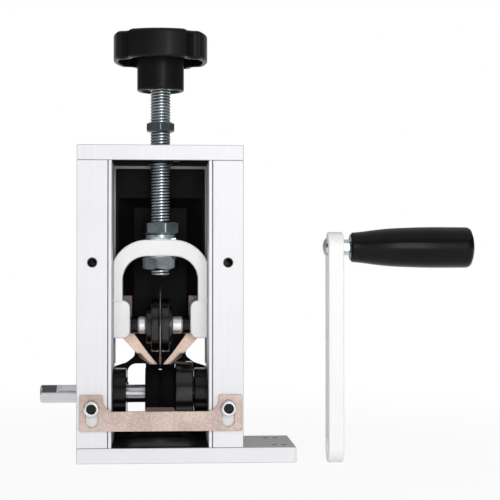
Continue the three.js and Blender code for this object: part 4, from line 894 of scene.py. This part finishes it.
# Star knob: rings of the lobed outline, drawn in towards a round hub below
knob = {"lobes": 4, "reach": 31.4, "lobe": 46, "notchAt": 35.4, "notch": 5.9, "blend": 2.2, "turn": -0.07,
    "hubHeight": 19.2, "round": 3.2, "lowRound": 1.6, "wall": 3.2, "hollow": 12, "hub": 15.7, "recess": 1.6,
    "recessRim": 2.2, "dome": 0.8, "pocket": 10.1, "pocketDeep": 18.8, "sides": 360}
knobAngle = directions(knob["sides"])


def lobed(inset):
    # distance from the middle to the outline: wide arcs end the lobes, round notches cut the corners between
    half = math.pi / knob["lobes"]
    near = (knobAngle - knob["turn"] + math.pi / 2 + half) % (2 * half) - half
    lobe, notch, back = knob["lobe"] - inset, knob["notch"] + inset, knob["lobe"] - knob["reach"]
    outer = np.sqrt(lobe ** 2 - (back * np.sin(near)) ** 2) - back * np.cos(near)
    off = half - np.abs(near)
    under = notch ** 2 - (knob["notchAt"] * np.sin(off)) ** 2
    inner = knob["notchAt"] * np.cos(off) - np.sqrt(np.maximum(under, 0)) + np.maximum(-under, 0)
    share = np.clip(0.5 + (inner - outer) / knob["blend"] / 2, 0, 1)  # a smooth lesser of the two
    return inner + (outer - inner) * share - knob["blend"] * share * (1 - share)


low, high = span("star_knob")
foot, headLow, headTop = low[2], low[2] + knob["hubHeight"], high[2]
top, under, wall, dome = knob["round"], knob["lowRound"], knob["wall"], knob["dome"]
hub, lip, pocket, recess = knob["hub"], knob["hub"] - knob["recessRim"], knob["pocket"], foot + knob["recess"]
hollow = headLow + knob["hollow"]
quarter = np.linspace(0, math.pi / 2, 7)
knobRings = [(headTop - dome * share ** 2, lobed(top) * share) for share in (0.02, 0.3, 0.6, 0.85)]
knobRings += [(headTop - dome - (top - dome) * (1 - math.cos(turn)), lobed(top * (1 - math.sin(turn))))
    for turn in quarter]
knobRings += [(headLow + under * (1 - math.sin(turn)), lobed(under * (1 - math.cos(turn)))) for turn in quarter]
knobRings += [(headLow, lobed(wall - 0.6)), (headLow + 0.4, lobed(wall - 0.15)), (hollow - 1, lobed(wall)),
    (hollow, lobed(wall + 1)), (hollow, hub + 1.2), (hollow - 1.2, hub), (foot + 1, hub),
    (foot + 0.3, hub - 0.3), (foot, hub - 1), (foot, lip), (foot + 0.3, lip - 0.3), (recess, lip - 0.5),
    (recess, pocket), (foot + knob["pocketDeep"], pocket)]
place(wound(*rows(*knobRings, sides=knob["sides"]), "z"), "star_knob", sharp=45)
print("spindle and knob placed")

# Crank
crank = {"edge": 0.9, "shaftBore": 6.3, "shaftHeight": 10, "boltBore": 3.9, "nut": 9.2,
    "boltHead": ((0, 0.4), (0.15, 1.8), (0.6, 3.6), (1.4, 5.2), (2.3, 6), (3, 6.2), (3, 3.6)),
    "boltEnd": ((-0.9, 3.6), (0, 2.7))}
gripY, gripZ = middle("crank_grip")[1:]
gripLine = (0, gripY, gripZ)
low, high = span("crank_arm")
armLoop = stadium((low[1] + high[1]) / 2, low[2], high[2], (high[1] - low[1]) / 2)
armTools = [drill(crank["shaftBore"], low[0] - 2, high[0] + 2, "x", (0, gripY, low[2] + crank["shaftHeight"]), 64),
    drill(crank["boltBore"], low[0] - 2, high[0] + 2, "x", gripLine, 48)]
place(carved(slab([armLoop], low[0], high[0], "x", crank["edge"], 4), joined(*armTools)), "crank_arm",
    "crank_set_screw")

low, high = span("grip_bolt")
boltProfile = [(end + along, radius) for end, part in ((low[0], "boltHead"), (high[0], "boltEnd"))
    for along, radius in crank[part]]
place(turned(boltProfile, "x", gripLine, 64), "grip_bolt")
low, high = span("grip_nut")
gripNut = hexNut(crank["nut"], high[0] - low[0], crank["boltBore"], "x", (low[0], gripY, gripZ), math.pi / 6, 96)
place(gripNut, "grip_nut")

grip = {"shape": ((0, 9.6), (0.08, 10), (0.2, 11.5), (0.34, 12.6), (0.5, 13.1), (0.62, 13.4), (0.8, 13.4), (1, 13.3)),
    "neckRound": 1.6, "endRound": 4.2, "bore": 3.9, "boreStart": 0.5, "boreEnd": 12}
low, high = span("crank_grip")
start, long = low[0], high[0] - low[0]
shares = np.linspace(0, 1, 61)
smooth = np.interp(shares, *zip(*grip["shape"]))
smooth = np.convolve(np.pad(smooth, 4, mode="edge"), np.ones(9) / 9, mode="valid")


def roundedBy(radius, away):  # what a rounded end takes off the radius at this distance from it
    return radius - np.sqrt(radius ** 2 - np.maximum(radius - away, 0) ** 2)


outer = smooth - roundedBy(grip["neckRound"], shares * long) - roundedBy(grip["endRound"], (1 - shares) * long)
gripProfile = [(start + grip["boreEnd"], 0.3), (start + grip["boreEnd"], grip["bore"]),
    (start + grip["boreStart"], grip["bore"]), *zip(start + shares * long, outer),
    (high[0], outer[-1] * 0.5)]
place(turned(gripProfile, "x", gripLine, 128), "crank_grip")
print("crank placed")

# CAD nodes that keep their own shape
for node in nodes:
    nodes[node].data.materials.clear()
    nodes[node].data.materials.append(looks[slotOf[node]].material)

# Floor, backdrop and lamps; a ramp is its start, its end, and the strength before and after it
studio = {"floor": 6, "below": 0.2, "sky": (0.4, 0.95, 0.3, 0.66), "ceiling": (0.45, 0.8, 0.1, 0.75),
    "back": (0.8, 0.96, 0.1, 1), "glow": (0.84, 0.97, 0.1, 0.8), "glowWay": (0.174, -0.985, 0.03),
    "near": (0.12, 0.6, 0.92, 1), "under": ((17, 70), (0, 31)), "aim": (30, 0, 120)}
lamps = {"mainLamp": ((300, -1450, 150), (0.2, 1.2), 4.3, True),
    "fillLamp": ((-120, -1500, 200), (0.6, 0.6), 5.6, False),
    "leftLamp": ((-1150, -1000, 300), (0.7, 0.7), 3.2, False),
    "rightLamp": ((1150, -1000, 300), (0.7, 0.7), 3.2, False)}


def paperMaterial():
    # near the object the paper shows its shadow; further out it turns into plain white for the camera
    look = Look("floorPaper", Roughness=0.8, Specular_IOR_Level=0.2)
    look.drive("Base Color", look.mix(look.noise(9, 4), (0.88, 0.88, 0.88, 1), (0.9, 0.9, 0.9, 1)))
    seen = look.ray("Camera") + look.ray("Glossy") + look.ray("Transmission")
    distance = look.place().vector("LENGTH", output="Value")
    share = seen.math("MINIMUM", 1) * distance.step(*studio["near"])
    covered = [(look.place().part(index) - centre * mm).math("ABSOLUTE").math("LESS_THAN", half * mm)
        for index, (centre, half) in enumerate(studio["under"])]
    share = share * (1 - covered[0] * covered[1])  # no glow below the base plate
    white = look.node("ShaderNodeEmission", {}, {"Color": (1, 1, 1, 1), "Strength": 1})
    blend = look.node("ShaderNodeMixShader", {}, [share, Wire(look, look.shader.outputs[0]), white])
    look.feed(look.tree.nodes["Material Output"].inputs["Surface"], blend)
    return look.material


floorMesh = bpy.data.meshes.new("floor")
floorEdge = circle(0, 0, studio["floor"], 64)
floorMesh.from_pydata([(x, y, -studio["below"] * mm) for x, y in floorEdge], [], [list(range(len(floorEdge)))])
floorMesh.materials.append(paperMaterial())
added("floor", floorMesh)

# White for the camera; what shines shows the white backdrop behind, a pale ceiling and a dim room in front
world = bpy.data.worlds.new("studio")
bpy.context.scene.world = world
world.use_nodes = True
sky = Shading(world.node_tree)
heading = sky.place("Generated")
above, behind = heading.part(2).step(*studio["ceiling"]), heading.part(1).step(*studio["back"])
glow = heading.vector("DOT_PRODUCT", studio["glowWay"], output="Value").step(*studio["glow"])
shown = above.math("MAXIMUM", behind).math("MAXIMUM", glow)
around = (heading.part(1) * -1).step(*studio["sky"])
glossy = sky.ray("Glossy")
direct = (sky.ray("Camera") + sky.ray("Transmission")).math("MINIMUM", 1)
strength = direct + glossy * shown + (1 - (direct + glossy)) * around
background = sky.tree.nodes["Background"]
sky.feed(background.inputs["Strength"], strength)
sky.feed(background.inputs["Color"], (1, 1, 1, 1))

for name, (spot, size, power, shiny) in lamps.items():
    data = bpy.data.lights.new(name, "AREA")
    data.shape, data.energy = "RECTANGLE", power
    data.size, data.size_y = size
    lamp = added(name, data)
    lamp.visible_glossy = shiny
    lamp.location = Vector(spot) * mm
    lamp.rotation_euler = (Vector(studio["aim"]) * mm - lamp.location).to_track_quat("-Z", "Y").to_euler()

bpy.context.scene.view_settings.view_transform = "Standard"
print("studio ready")
